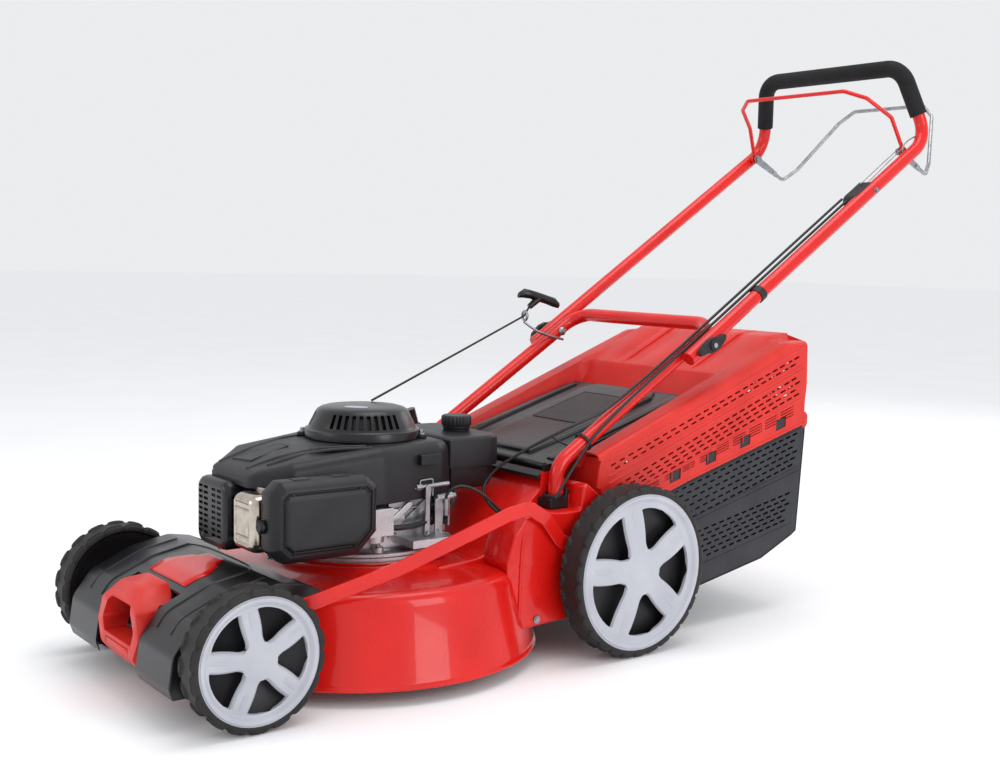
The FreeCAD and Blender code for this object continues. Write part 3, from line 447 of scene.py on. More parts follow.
def cylinder(name, start, end, radius, bevel=0.0, sides=32, radius_end=None):
    """A round bar between two points, with bevelled rims."""
    axis = Vector(end) - Vector(start)
    turn = axis.to_track_quat("Z", "Y").to_matrix()
    rings = []
    for height, r in ((0.0, radius), (axis.length, radius_end or radius)):
        ring = []
        for step in range(sides):
            angle = 2 * math.pi * step / sides
            local = Vector((r * math.cos(angle), r * math.sin(angle), height))
            ring.append(tuple(Vector(start) + turn @ local))
        rings.append(ring)
    obj = loft(name, rings)
    if bevel:
        add_bevel(obj, bevel, 2, 50)
    return obj


def mirror_copy(obj, name):
    """A copy on the other side of the mower, with its faces turned the right way."""
    bake(obj)
    mesh = obj.data.copy()
    mesh.transform(Matrix.Scale(-1, 4, (1, 0, 0)))
    mesh.flip_normals()
    return new_object(name, mesh)


def carve(obj, tools, operation="DIFFERENCE"):
    """Cuts solids out of a piece, or keeps what it shares with them, and throws them away."""
    bake(obj)
    tool = joined(obj.name + "_tool", tools)
    cut = obj.modifiers.new("cut", "BOOLEAN")
    cut.operation = operation
    cut.solver = "EXACT"
    cut.use_self = True
    cut.object = tool
    bake(obj)
    bpy.data.objects.remove(tool)


# ---------------------------------------------------------------- camera, light and floor

CAMERA_PLACE = (1789.7, -1114.3, 644.6)
CAMERA_YAW_PITCH_ROLL = (52.55, 5.91, 1.33)
FLOOR_REACH = 30.0


def make_stage():
    camera_data = bpy.data.cameras.new("camera")
    camera_data.lens = 47.24
    camera_data.sensor_width = 36
    camera_data.clip_end = 60
    camera = new_object("camera", camera_data)
    yaw, pitch, roll = (math.radians(value) for value in CAMERA_YAW_PITCH_ROLL)
    ahead = Vector((-math.sin(yaw) * math.cos(pitch), math.cos(yaw) * math.cos(pitch), -math.sin(pitch)))
    level = Vector((math.cos(yaw), math.sin(yaw), 0))
    above = level.cross(ahead)
    right = math.cos(roll) * level + math.sin(roll) * above
    up = -math.sin(roll) * level + math.cos(roll) * above
    turn = Matrix((right, up, -ahead)).transposed().to_4x4()
    camera.matrix_world = Matrix.Translation(at(*CAMERA_PLACE)) @ turn
    bpy.context.scene.camera = camera

    floor_mesh = bpy.data.meshes.new("floor")
    corners = [(FLOOR_REACH * x, FLOOR_REACH * y, 0) for x, y in ((-1, -1), (1, -1), (1, 1), (-1, 1))]
    floor_mesh.from_pydata(corners, [], [(0, 1, 2, 3)])
    floor = new_object("floor", floor_mesh)
    floor_material = new_material("floor", (0.965, 0.967, 0.975), 0.9, specular=0.0)
    vary_color(floor_material, add_noise(floor_material, 3), (0.955, 0.957, 0.965), (0.975, 0.977, 0.985))
    floor.data.materials.append(floor_material)

    world = bpy.data.worlds.new("studio")
    world.use_nodes = True
    background = world.node_tree.nodes["Background"]
    background.inputs["Color"].default_value = (0.97, 0.98, 1.0, 1)
    background.inputs["Strength"].default_value = 0.86
    bpy.context.scene.world = world
    bpy.context.scene.view_settings.view_transform = "Standard"

    softbox("softbox_top", (0.3, 0.1, 3.0), (0, 0, 0.3), 2.0, 1.6, 26)
    softbox("softbox_left", (3.2, 0.4, 1.4), (0, 0, 0.35), 1.4, 1.8, 30)
    softbox("softbox_front", (-0.8, -3.4, 1.6), (0, 0, 0.3), 1.8, 1.3, 16)
    softbox("softbox_rear", (-0.6, 3.4, 2.0), (0, 0.3, 0.5), 1.8, 1.3, 14)


def softbox(name, place, target, width, height, power):
    data = bpy.data.lights.new(name, "AREA")
    data.shape = "RECTANGLE"
    data.size = width
    data.size_y = height
    data.energy = power
    light = new_object(name, data)
    light.location = place
    light.rotation_euler = (Vector(target) - Vector(place)).to_track_quat("-Z", "Y").to_euler()


# ---------------------------------------------------------------- wheels

WHEEL_KINDS = {
    "front": {"radius": 100.0, "face": 260.0, "width": 46.0, "axle": FRONT_AXLE, "lugs": 18, "cap": 88.5},
    "rear": {"radius": 140.0, "face": 289.0, "width": 50.0, "axle": REAR_AXLE, "lugs": 30, "cap": 127.4},
}


def lug_height(across, around, depth):
    """How far the tread stands up: scalloped blocks that start at each shoulder."""
    side = abs(across)
    phase = around + (0.5 if across > 0 else 0.0)
    wave = math.cos(2 * math.pi * phase)
    reach = 0.30 + 0.26 * max(0.0, wave) ** 0.6
    inner_edge = 1.0 - reach
    rise = min(1.0, max(0.0, (side - inner_edge) / 0.07))
    gap = min(1.0, max(0.0, (wave + 0.86) / 0.22))
    return depth * max(rise * gap, 0.0)


def make_tyre(name, kind):
    """Rubber ring with a rounded shoulder and moulded blocks."""
    radius, width, face = kind["radius"], kind["width"], kind["face"]
    y0, z0 = kind["axle"]
    half = width / 2
    middle = face - half
    depth = 3.4 if kind["lugs"] < 20 else 3.0
    around_steps = kind["lugs"] * 16
    rim = kind["cap"] + 0.2
    shoulder = [(-1.0, 9.5), (-0.985, 6.5), (-0.94, 3.8), (-0.86, 1.9), (-0.76, 1.0)]
    crown = [(-0.76 + 1.52 * step / 14, 0.0) for step in range(15)]
    rows = shoulder + crown + [(-x, drop) for x, drop in reversed(shoulder)]
    rings = []
    for step in range(around_steps):
        angle = 2 * math.pi * step / around_steps
        around = kind["lugs"] * step / around_steps
        section = [(middle - half + 1.5, rim)]
        for across, drop in rows:
            lug = lug_height(across, around, depth) * (1.0 if abs(across) < 0.97 else 0.75)
            r = radius - depth - drop * 0.92 + lug
            if drop > 6:
                r = radius - drop
            inset = 0.0 if lug > depth / 3 or abs(across) < 0.9 else 1.2
            x = middle + across * (half - inset)
            section.append((x, min(r, radius - 0.02)))
        section.append((middle + half - 1.5, rim))
        rings.append([(x, y0 + r * math.cos(angle), z0 + r * math.sin(angle)) for x, r in section])
    return skin(name, rings, 32, wrap_rows=True)


def window_half_angle(t, widest):
    """Half the angular width of a cap's opening, from its pointed foot (t = 0) to its rim end (t = 1)."""
    opening = math.sqrt(1 - (1 - t / 0.2) ** 2) if t < 0.2 else 1.0
    grow = 0.4 + 0.6 * t ** 0.75
    close = math.sqrt(max(0.0, 1 - ((t - 0.94) / 0.06) ** 2)) if t > 0.94 else 1.0
    return widest * opening * grow * close


def cap_height(r, size):
    """How far in from the wheel's outer face the trim lies at a radius."""
    if r > size - 2.2:
        return 2.4 - (r - size + 2.2) * 0.2
    if r > size - 6:
        return 0.6
    if r > size - 14:
        t = (size - 6 - r) / 8
        return 0.6 + 6.4 * t * t * (3 - 2 * t)
    t = r / (size - 14)
    return 7.0 - 3.4 * (1 - t * t)


def make_cap(name, kind):
    """Silver trim: five spokes as strips between teardrop openings, an outer ring and a domed hub."""
    size, face = kind["cap"], kind["face"]
    y0, z0 = kind["axle"]
    r_in, r_out = 0.3 * size, 0.83 * size
    hub_rows = [0.0, 0.05, 0.1, 0.15, 0.2, 0.25, 0.285]
    window_rows = 30
    radii = [row * size for row in hub_rows]
    radii += [r_in + (r_out - r_in) * (1 - math.cos(math.pi * k / window_rows)) / 2
              for k in range(window_rows + 1)]
    radii += [r_out + (size - r_out) * k / 12 for k in range(1, 13)]
    columns = [-1.0, -0.985, -0.95, -0.9, -0.72, -0.5, -0.34, -0.2, -0.12, -0.06, 0.0]
    columns += [-value for value in reversed(columns[:-1])]
    half_sector = math.radians(36)
    points, faces = [], []
    for spoke in range(5):
        middle = math.radians(-6 + 36 + 72 * spoke)
        for r in radii:
            t = (r - r_in) / (r_out - r_in)
            gap = window_half_angle(t, math.radians(24.5)) if 0 <= t <= 1 else 0.0
            for s in columns:
                angle = middle + s * (half_sector - gap)
                drop = cap_height(r, size)
                edge = (1 - abs(s)) * (half_sector - gap) * r
                open_here = min(1.0, gap / math.radians(3))
                drop += 5.5 * open_here * max(0.0, 1 - edge / 4.0) ** 2
                groove = abs(abs(s) - 0.16) < 0.05 and 0.56 < r / size < 0.8
                drop += 0.9 if groove else 0.0
                points.append((face - drop, y0 + r * math.cos(angle), z0 + r * math.sin(angle)))
    width = len(columns)
    for spoke in range(5):
        for k in range(len(radii) - 1):
            base = (spoke * len(radii) + k) * width
            faces += [(i, i + 1, i + 1 + width, i + width) for i in range(base, base + width - 1)]
    return thicken(mesh_piece(name, points, faces, 40, 0.03), 2.2)


def make_hub(name, kind):
    """Black disc behind the trim, with ribs round its boss on the inner side."""
    size, face, width = kind["cap"] - 0.5, kind["face"], kind["width"]
    y0, z0 = kind["axle"]
    inner = face - width
    profile = [
        (7.6, inner + 1 - face), (16, inner + 1 - face), (18, inner + 3 - face), (20, inner + 13 - face),
        (size * 0.45, inner + 16 - face), (size - 14, inner + 15 - face), (size - 6, inner + 5 - face),
        (size - 1, inner + 2.5 - face), (size - 0.5, inner + 6 - face), (size - 0.5, -14), (size - 6, -14),
        (size - 9, inner + 22 - face), (22, inner + 20 - face), (18, -17), (7.6, -17),
    ]
    disc = revolve(name, profile, (face, y0, z0), 0, 96)
    pivot = at(0, y0, z0)
    ribs = []
    for index in range(10):
        rib = block("rib", inner + 3, inner + 17, y0 - 1.2, y0 + 1.2, z0 + 15, z0 + size * 0.42, 0.6, 2)
        turn = Matrix.Rotation(math.radians(36 * index), 4, "X")
        rib.data.transform(Matrix.Translation(pivot) @ turn @ Matrix.Translation(-pivot))
        ribs.append(rib)
    return joined(name, [disc] + ribs)


def make_wheels():
    makers = (("tyre", make_tyre, "tyre"), ("hub", make_hub, "black_plastic"),
              ("cap", make_cap, "silver_plastic"))
    for place, kind in WHEEL_KINDS.items():
        for part, maker, slot in makers:
            left = maker(f"{place}_left_{part}_piece", kind)
            right = mirror_copy(left, f"{place}_right_{part}_piece")
            for side, piece in (("left", left), ("right", right)):
                shade(piece.data, 34)
                finish_piece(piece, f"{place}_{side}_wheel", slot, [f"{place}_{side}_{part}"])


# ---------------------------------------------------------------- handles, bails and cables

def make_handles():
    corner = (172.0, 1098.0, 1028.0)
    foot = (LOWER_X, 233, 242)
    lower_side = [foot, (LOWER_X, *along_handle(-358, LOWER_DEG)), (LOWER_X, *along_handle(60, LOWER_DEG))]
    lower = u_bend("lower_handle_piece", lower_side, [44, 42], TUBE_R)
    finish_piece(lower, "chassis", "red_paint", ["lower_handle"])

    bend = (UPPER_X, *along_handle(721, UPPER_DEG))
    upper_side = [(UPPER_X, *along_handle(-45, UPPER_DEG)), bend, corner]
    upper = u_bend("upper_handle_piece", upper_side, [58, 42], TUBE_R)
    finish_piece(upper, "upper_handle", "red_paint", ["upper_handle"])

    start = Vector(bend).lerp(Vector(corner), 0.33)
    grip = u_bend("handle_grip_piece", [tuple(start), corner], [42], 16.5, 10)
    finish_piece(grip, "upper_handle", "foam", ["handle_grip"])


def make_bails():
    y, z = BAIL_PIVOT
    red_side = [(192, y, z), (182, y - 30, z + 64), (160, y - 80, z + 98), (124, y - 105, z + 112)]
    red = u_bend("drive_bail_wire", red_side, [12, 14, 14], 4, 6)
    eyes = [cylinder("eye", (side * 190, y, z), (side * 194, y, z), 9, 0.8) for side in SIDES]
    assemble("drive_bail_piece", [red] + eyes, "drive_bail", "red_paint", ["drive_bail"])

    zinc_side = [(184.5, y + 52, z - 24), (184.5, y + 86, z - 40), (170, y + 116, z - 16),
                 (120, y + 190, z + 88), (88, y + 203, z + 113)]
    wire = u_bend("brake_bail_wire", zinc_side, [12, 14, 16, 14], 4, 6)
    outline = [(y - 9, z + 3), (y - 3, z + 9), (y + 4, z + 7), (y + 66, z - 24), (y + 62, z - 35),
               (y - 6, z - 7)]
    levers = [prism("lever", outline, 0, side * 183, side * 186, 0.8, 2) for side in SIDES]
    assemble("brake_bail_piece", [wire] + levers, "brake_bail", "zinc", ["brake_bail"])


# ---------------------------------------------------------------- sheets and stacked shapes

def inset_outline(points, distance):
    """A closed 2-D outline moved inwards."""
    count = len(points)
    area = sum(points[i - 1][0] * points[i][1] - points[i][0] * points[i - 1][1] for i in range(count))
    inward = 1 if area > 0 else -1
    result = []
    for i in range(count):
        here = Vector(points[i])
        before = (here - Vector(points[i - 1])).normalized()
        after = (Vector(points[(i + 1) % count]) - here).normalized()
        first = Vector((-before.y, before.x)) * inward
        second = Vector((-after.y, after.x)) * inward
        result.append(tuple(here + (first + second) * (distance / (1 + first.dot(second)))))
    return result


def shrunk(outline, inset):
    """An outline moved inwards.  A (corners, radii, steps) outline keeps clean arcs at any inset."""
    if isinstance(outline, list):
        return inset_outline(outline, inset)
    corners, radii, steps = outline
    return rounded_outline(inset_outline(corners, inset), [max(r - inset, 0.4) for r in radii], steps)


def stacked(name, outline, axis, steps, smooth_deg=35.0):
    """A solid from one outline: steps give (place along the axis, inset) for each ring."""
    rings = []
    for height, inset in steps:
        ring = []
        for pair in shrunk(outline, inset):
            values = list(pair)
            values.insert(axis, height)
            ring.append(tuple(values))
        rings.append(ring)
    return loft(name, rings, smooth_deg)


def holed_sheet(name, outline, holes, place, thickness):
    """A flat sheet with openings.  place(u, v, depth) gives the point of an outline position."""
    corners = [Vector(point) for point in outline]
    edges = [(i, (i + 1) % len(outline)) for i in range(len(outline))]
    for hole in holes:
        start = len(corners)
        corners += [Vector(point) for point in hole]
        edges += [(start + i, start + (i + 1) % len(hole)) for i in range(len(hole))]
    flat, _, triangles, *_ = delaunay_2d_cdt(corners, edges, [], 1, 1e-5)
    boxes = [(min(p[0] for p in hole), max(p[0] for p in hole), hole) for hole in holes]
    kept = []
    for triangle in triangles:
        middle = sum((flat[i] for i in triangle), Vector((0, 0))) / 3
        if any(low < middle.x < high and inside(middle, hole) for low, high, hole in boxes):
            continue
        if inside(middle, outline):
            kept.append(tuple(triangle))
    count = len(flat)
    points = [place(p.x, p.y, 0.0) for p in flat] + [place(p.x, p.y, thickness) for p in flat]
    faces = list(kept) + [tuple(i + count for i in reversed(face)) for face in kept]
    used = {edge: True for face in kept for edge in zip(face, face[1:] + face[:1])}
    faces += [(b, a, a + count, b + count) for a, b in used if (b, a) not in used]
    return mesh_piece(name, points, faces, 30)


def inside(point, polygon):
    """Whether a 2-D point lies in a polygon."""
    found = False
    for (ax, ay), (bx, by) in zip(polygon, polygon[1:] + polygon[:1]):
        if (ay > point.y) != (by > point.y) and point.x < (bx - ax) * (point.y - ay) / (by - ay) + ax:
            found = not found
    return found


def along_line(points, y):
    """Height of an open outline at a place along Y."""
    for (y0, z0), (y1, z1) in zip(points, points[1:]):
        if y0 <= y <= y1:
            return z0 + (z1 - z0) * (y - y0) / (y1 - y0)
    return points[0][1] if y < points[0][0] else points[-1][1]


def rounded_box(span, low, high, radius):
    """A rectangle's corners and radii, for stacked()."""
    return [(span[0], low), (span[1], low), (span[1], high), (span[0], high)], [radius] * 4, 6


# ---------------------------------------------------------------- engine

def polar_relief(name, rows, columns, depth):
    """A domed cover: rows are (radius, z, recessed) and columns are (degrees, recessed)."""
    sections = []
    for degrees, column_open in columns:
        sections.append([(*polar(r - (depth if row_open and column_open else 0.0), degrees), z)
                         for r, z, row_open in rows])
    return skin(name, sections, 32, 0.01, wrap_rows=True, wrap_columns=False)


def make_recoil():
    top = [(0, 401.9), (30, 401.6), (50, 400.8), (60, 399.6), (67, 397.6), (72, 394.6)]
    rows = [(r, z, False) for r, z in top]
    rows += [(74.4, 391.2, False), (74.6, 391.0, True), (84.6, 370.6, True), (84.8, 370.2, False)]
    rows += [(86.6, 366.6, False), (88.4, 364.8, False), (91.4, 364.0, False), (92, 362.8, False)]
    rows += [(92, 351.5, False), (90.6, 350.2, False), (0, 350.2, False)]
    columns = []
    for group in (-28, 92, 212):
        for k in range(10):
            middle = group - 38 + 8.4 * k
            columns += [(middle - 2.25, False), (middle - 2.2, True), (middle + 2.2, True),
                        (middle + 2.25, False)]
            columns += [(middle + 4.2, False)] if k < 9 else []
        columns += [(group + 41 + 7 * k, False) for k in range(1, 6)]
    dome = polar_relief("recoil_housing_piece", rows, columns, 9.0)
    finish_piece(dome, "chassis", "black_plastic", ["recoil_housing"], "black_cover")
    badge_at = Vector(polar(42, -45))
    oval = []
    for step in range(40):
        angle = 2 * math.pi * step / 40
        turned = Matrix.Rotation(math.radians(45), 2) @ Vector((19 * math.cos(angle), 8 * math.sin(angle)))
        oval.append(tuple(badge_at + turned))
    badge = stacked("recoil_badge", oval, 2, [(399.4, 0), (401.9, 0), (402.4, 0.7), (402.5, 2), (402.1, 2.4),
                                              (402.1, 3.4)])
    finish_piece(badge, "chassis", "silver_plastic")
    places = [polar(95, degrees) for degrees in (50, 150, 236)]
    ears = [cylinder("ear", (x, y, 350.2), (x, y, 356), 9, 1.4, 32) for x, y in places]
    screws = [screw("screw", (x, y, 356), (0, 0, 1), 6, 7) for x, y in places]
    assemble("recoil_screws", screws, "chassis", "zinc")
    assemble("recoil_ears", ears, "chassis", "black_plastic")


def screw(name, place, direction, radius, height):
    """A flanged hexagon screw head standing on a surface."""
    start, axis = Vector(place), Vector(direction).normalized()
    flange = cylinder("flange", start, start + axis * height * 0.3, radius, 0.4, 24)
    head = cylinder("head", start + axis * height * 0.25, start + axis * height, radius * 0.68, 0.5, 6)
    return joined(name, [flange, head])


def shroud_top(y):
    return along_line([(-263, 318), (-240, 326), (-200, 338), (-140, 349), (-120, 350), (200, 350)], y)


def make_shroud():
    plan = [(-40, -263), (84, -263), (128, -215), (135, -60), (112, 60), (92, 88), (-96, 88),
            (-120, 60), (-120, -70), (-92, -206)]
    shape = (plan, [18, 20, 26, 40, 20, 6, 6, 20, 40, 26], 7)
    outline = shrunk(shape, 0)
    rings = []
    for low, inset in ((0.0, 2.0), (0.02, 0.0), (0.45, 0.0), (0.52, 1.2), (0.78, 1.6), (0.86, 3.4),
                       (0.93, 7.0), (0.98, 12.0), (1.0, 18.0)):
        ring = []
        for (x, y), (_, edge_y) in zip(shrunk(shape, inset), outline):
            foot = 300.0 - 36.0 * min(1.0, max(0.0, (edge_y + 232) / 12))
            ring.append((x, y, foot + (shroud_top(y) - foot) * low))
        rings.append(ring)
    for share in (0.75, 0.5, 0.25):
        ring = []
        for x, y in shrunk(shape, 18):
            px, py = x * share, BLADE_Y + (y - BLADE_Y) * share
            ring.append((px, py, shroud_top(py) + 0.2))
        rings.append(ring)
    body = loft("engine_shroud_piece", rings, 30)
    finish_piece(body, "chassis", "black_plastic", ["engine_shroud"])
    creases = []
    for x0, x1, start in ((-36, -64, -250), (50, 92, -248), (74, 112, -226)):
        path = []
        for step in range(9):
            y = start + (-70 - start) * step / 8
            path.append((x0 + (x1 - x0) * (step / 8) ** 1.4, y, shroud_top(y) - 1.6))
        creases.append(curve_piece("crease", "NURBS", path, 3.2, 4))
    assemble("shroud_creases", creases, "chassis", "black_plastic")
    plate = [(-24, -236), (26, -230), (14, -160), (-16, -160)]
    rings = []
    for lift, inset in ((-2.0, 0), (1.2, 0), (1.6, 0.6), (1.6, 2.0), (1.2, 2.4)):
        rings.append([(x, y, shroud_top(y) + lift) for x, y in inset_outline(plate, inset)])
    finish_piece(loft("shroud_plate", rings), "chassis", "silver_plastic", (), "bag_grey")
    side_plate = stacked("shroud_side_plate", rounded_box((8, 46), 318, 334, 1.5), 0,
                         [(120, 0), (129.5, 0), (130.2, 0.6)])
    finish_piece(side_plate, "chassis", "black_plastic", (), "dark_panel")


def make_tank():
    outline = ([(-96, 88.5), (92, 88.5), (92, 200), (-96, 200)], [4, 4, 34, 34], 10)
    steps = [(262, 26), (263, 20), (267, 13), (274, 9), (300, 8), (301, 0.4), (303, 0), (341, 0), (346, 1.4),
             (349, 4.6), (350, 9), (350, 20)]
    tank = stacked("fuel_tank_piece", outline, 2, steps, 30)
    neck = revolve("neck", [(8, 0), (21, 0), (22.5, 1), (22.5, 3), (21, 4), (8, 4)], (10, 158, 349.8), 2, 64)
    assemble("fuel_tank_piece", [tank, neck], "chassis", "black_plastic", ["fuel_tank"])
    rings = []
    for r, z, ripple in ((12, 354.2, 0), (22, 354.2, 0), (23.4, 355, 0), (23.6, 359, 0), (25, 360, 1),
                         (25.4, 361, 1), (25.4, 372, 1), (24.6, 374, 1), (22.6, 375.6, 0.3), (18, 376, 0),
                         (8, 375.4, 0)):
        ring = []
        for step in range(144):
            angle = 2 * math.pi * step / 144
            wave = 0.5 + 0.5 * math.cos(24 * angle)
            reach = r - ripple * 1.5 * (1 - wave) ** 2
            ring.append((10 + reach * math.cos(angle), 158 + reach * math.sin(angle), z))
        rings.append(ring)
    finish_piece(loft("fuel_cap_piece", rings, 40), "fuel_cap", "black_plastic", ["fuel_cap"])


def make_filter_cover():
    corners = [(-275, 224), (-275, 306), (-258, 322), (-120, 322), (-100, 306), (-100, 236), (-132, 204),
               (-252, 204)]
    outline = (corners, [6, 6, 7, 7, 7, 7, 7, 7], 4)
    steps = [(148, 3), (149, 0.8), (151, 0), (171, 0), (174, 0.8), (179, 4), (184, 9.5), (185.6, 12),
             (186, 14.5), (184.6, 15.6), (183.6, 16), (183.6, 17.6), (186, 19.4), (189, 21.4), (190, 23.6),
             (190.2, 27)]
    cover = stacked("air_filter_cover_piece", outline, 0, steps, 28)
    finish_piece(cover, "chassis", "black_plastic", ["air_filter_cover"])
    ridges = []
    for (y0, z0), (y1, z1) in (((-273, 226), (-249, 244)), ((-273, 304), (-249, 288)),
                               ((-257, 320), (-240, 300)), ((-121, 320), (-138, 300)),
                               ((-102, 305), (-124, 290)), ((-102, 238), (-124, 248)),
                               ((-133, 206), (-146, 226)), ((-251, 206), (-238, 226))):
        path = [(174, y0, z0), (181, y0 + (y1 - y0) * 0.35, z0 + (z1 - z0) * 0.35), (186.5, y1, z1)]
        ridges.append(curve_piece("ridge", "NURBS", path, 1.7, 3))
    for y in (-222, -158):
        ridges.append(block("tab", 156, 172, y - 13, y + 13, 320, 323.5, 1.2, 2))
    assemble("filter_cover_ridges", ridges, "chassis", "black_plastic")
    knob = revolve("knob", [(2, 0), (2, 9), (7, 9), (8.4, 7), (8.4, 2), (6, 0)], (0, 0, 0), 2, 24)
    knob.data.transform(placed((158, -275, 258), 90))
    wing = block("wing", 155.5, 160.5, -284, -275, 248, 268, 1.6, 2)
    assemble("filter_knob", [knob, wing], "chassis", "black_plastic")


def make_valve_cover():
    outline = rounded_box((74, 142), 214, 298, 15)
    steps = [(-251, 0), (-269, 0), (-276, 1.2), (-281, 4), (-284, 8), (-284.8, 11), (-284.2, 12.4),
             (-282.6, 13.6), (-282.2, 16), (-282.2, 20)]
    dome = stacked("valve_cover_piece", outline, 1, steps, 40)
    flange = stacked("flange", rounded_box((67, 147), 207, 304, 12), 1,
                     [(-250.2, 0.6), (-250.8, 0), (-252.6, 0), (-253.4, 0.8)])
    ribs = [block("bar", 84, 132, -284.6, -282, z - 1.2, z + 1.2, 0.8, 2) for z in (236, 276)]
    assemble("valve_cover_piece", [dome, flange] + ribs, "chassis", "chrome", ["valve_cover"])
    bolts = [screw("bolt", (x, -253, z), (0, -1, 0), 4.6, 6.5) for x,
             z in ((79, 302), (138, 300), (80, 209), (138, 209))]
    assemble("valve_cover_bolts", bolts, "chassis", "zinc")


def make_muffler_guard():
    outline = rounded_box((-50, 50), 200, 304, 20)
    shell = stacked("muffler_guard_piece", outline, 1, [(-239, 0), (-272, 0), (-277.6, 1.6), (-280.8, 5),
                                                        (-282, 10), (-282, 18)], 40)
    hollow = stacked("hollow", rounded_box((-47.5, 47.5), 202.5, 301.5, 17), 1,
                     [(-230, 0), (-270, 0), (-277, 3.4), (-279.6, 9)])
    slots = []
    for x in (-40, -22, 4, 22):
        for k in range(9):
            z = 218 + 8.6 * k
            slots.append(block("slot", x - 1 if x < 0 else x, x + 13, -290, -262, z, z + 4.2, 1.2, 2))
    for k in range(6):
        z = 224 + 11 * k
        slots.append(block("slot", -60, -40, -272, -250, z, z + 5, 1.4, 2))
        slots.append(block("slot", 40, 60, -272, -250, z, z + 5, 1.4, 2))
    carve(shell, [hollow] + slots)
    shade(shell.data, 35)
    finish_piece(shell, "chassis", "black_paint", ["muffler_guard"], "black_cover")


def make_engine_details():
    rods = [
        curve_piece("rod", "NURBS", [(119, -68, 284), (120, -60, 277), (121, -46, 281), (121, -30, 280),
                                     (122, 24, 283)], 1.7, 4),
        curve_piece("link", "POLY", bent_path([(124, 10, 283), (124, 10, 294), (124, 34, 295),
                                               (124, 34, 268)], [3, 3], 4), 1.3, 4),
        cylinder("sleeve", (122, 4, 283), (124, 64, 285), 3.6, 0.6, 24),
        cylinder("nut", (122, 4, 283), (122.4, 14, 283.4), 5.2, 0.5, 6),
        prism("arm", [(16, 208), (22, 206), (27, 210), (26, 262), (29, 280), (24, 288), (18, 284), (18, 240)],
              0, 126, 129, 0.8, 2),
        prism("plate", [(36, 204), (50, 206), (52, 252), (46, 266), (36, 262)], 0, 126, 129, 0.8, 2),
        cylinder("barrel", (122, 42, 262), (122, 72, 264), 7.2, 1.2, 28),
        cylinder("barrel_end", (122, 72, 264), (122, 78, 264.4), 4.6, 0.8, 20),
        prism("tab", [(-74, 262), (-50, 262), (-50, 270), (-54, 292), (-74, 290)], 0, 118, 120.5, 0.8, 2),
        screw("tab_bolt", (120.5, -62, 278), (1, 0, 0), 4.6, 5),
        screw("arm_bolt", (129, 21, 212), (1, 0, 0), 4.2, 5),
        screw("plate_bolt", (129, 43, 214), (1, 0, 0), 3.4, 3),
    ]
    assemble("governor_linkage", rods, "chassis", "zinc")
    hose = curve_piece("breather_hose", "NURBS", [(112, -100, 238), (124, -70, 228), (132, -30, 225),
                                                  (128, 12, 226), (116, 44, 234), (100, 70, 252),
                                                  (84, 92, 262)], 4.6, 6)
    loop = curve_piece("fuel_hose", "NURBS", [(86, 96, 268), (106, 92, 262), (118, 72, 246), (118, 52, 228),
                                              (104, 44, 220)], 4.2, 6)
    assemble("engine_hoses", [hose, loop], "chassis", "black_plastic")
    castings = [
        prism("web", [(-66, 206), (-58, 206), (4, 254), (4, 260), (-4, 260), (-66, 214)], 0, 88, 114, 1.6, 3),
        cylinder("boss", (92, -26, 232), (112, -26, 232), 20, 3.5, 48),
        cylinder("drain", (104, 58, 196), (122, 66, 196), 10, 2, 28),
        revolve("foot_ring", [(96, 0), (122, 0), (124, 1.6), (124, 6), (121, 8), (100, 9)],
                (0, BLADE_Y, 178.1), 2, 96),
    ]
    lugs = [polar(112, degrees) for degrees in (-62, -18, 24, 60, 120, 180, 240)]
    castings += [cylinder("lug", (x, y, 178.2), (x, y, 194), 9, 2, 28) for x, y in lugs]
    assemble("crankcase_castings", castings, "chassis", "aluminium")
    bolts = [screw("bolt", (x, y, 194), (0, 0, 1), 5.4, 6) for x, y in lugs]
    assemble("crankcase_bolts", bolts, "chassis", "zinc")


# ---------------------------------------------------------------- grass catcher

BAG_X = 218.0
BAG_WALL = 3.0
SNAPS = (470, 556, 642, 736)
SEAM = [(404, 236), (504, 267), (795, 346)]
BAG_TOP = [(300, 326), (743, 497), (800, 500)]
BAG_CENTRE = [(300, 300), (585, 388), (612, 440), (745, 506), (806, 512)]


def slot_row(front, rear, length, pitch, height, stagger):
    """Slanted slots set end to end along a line from front to rear."""
    run = Vector(rear) - Vector(front)
    direction = run.normalized()
    across = Vector((-direction.y, direction.x))
    slots = []
    place = stagger
    while place + length < run.length:
        share = place / run.length
        long = length * (0.75 + 0.25 * share)
        tall = height * (0.8 + 0.2 * share)
        start = Vector(front) + direction * place
        corners = [start, start + direction * long, start + direction * long + across * tall,
                   start + across * tall]
        slots.append([tuple(corner) for corner in corners])
        place += pitch
    return slots


def side_sheets(name, outline, holes, reach):
    """The same holed sheet on both sides of the catcher."""
    left = holed_sheet(name, outline, holes, lambda u, v, d: (reach - d, u, v), BAG_WALL)
    return [left, mirror_copy(left, name + "_right")]


def ribs_on_side(lines, reach, radius):
    """Raised lines on both sides of the catcher."""
    paths = [[(side * reach, y, z) for y, z in line] for side in SIDES for line in lines]
    return [curve_piece("rib", "POLY", path, radius, 2) for path in paths]


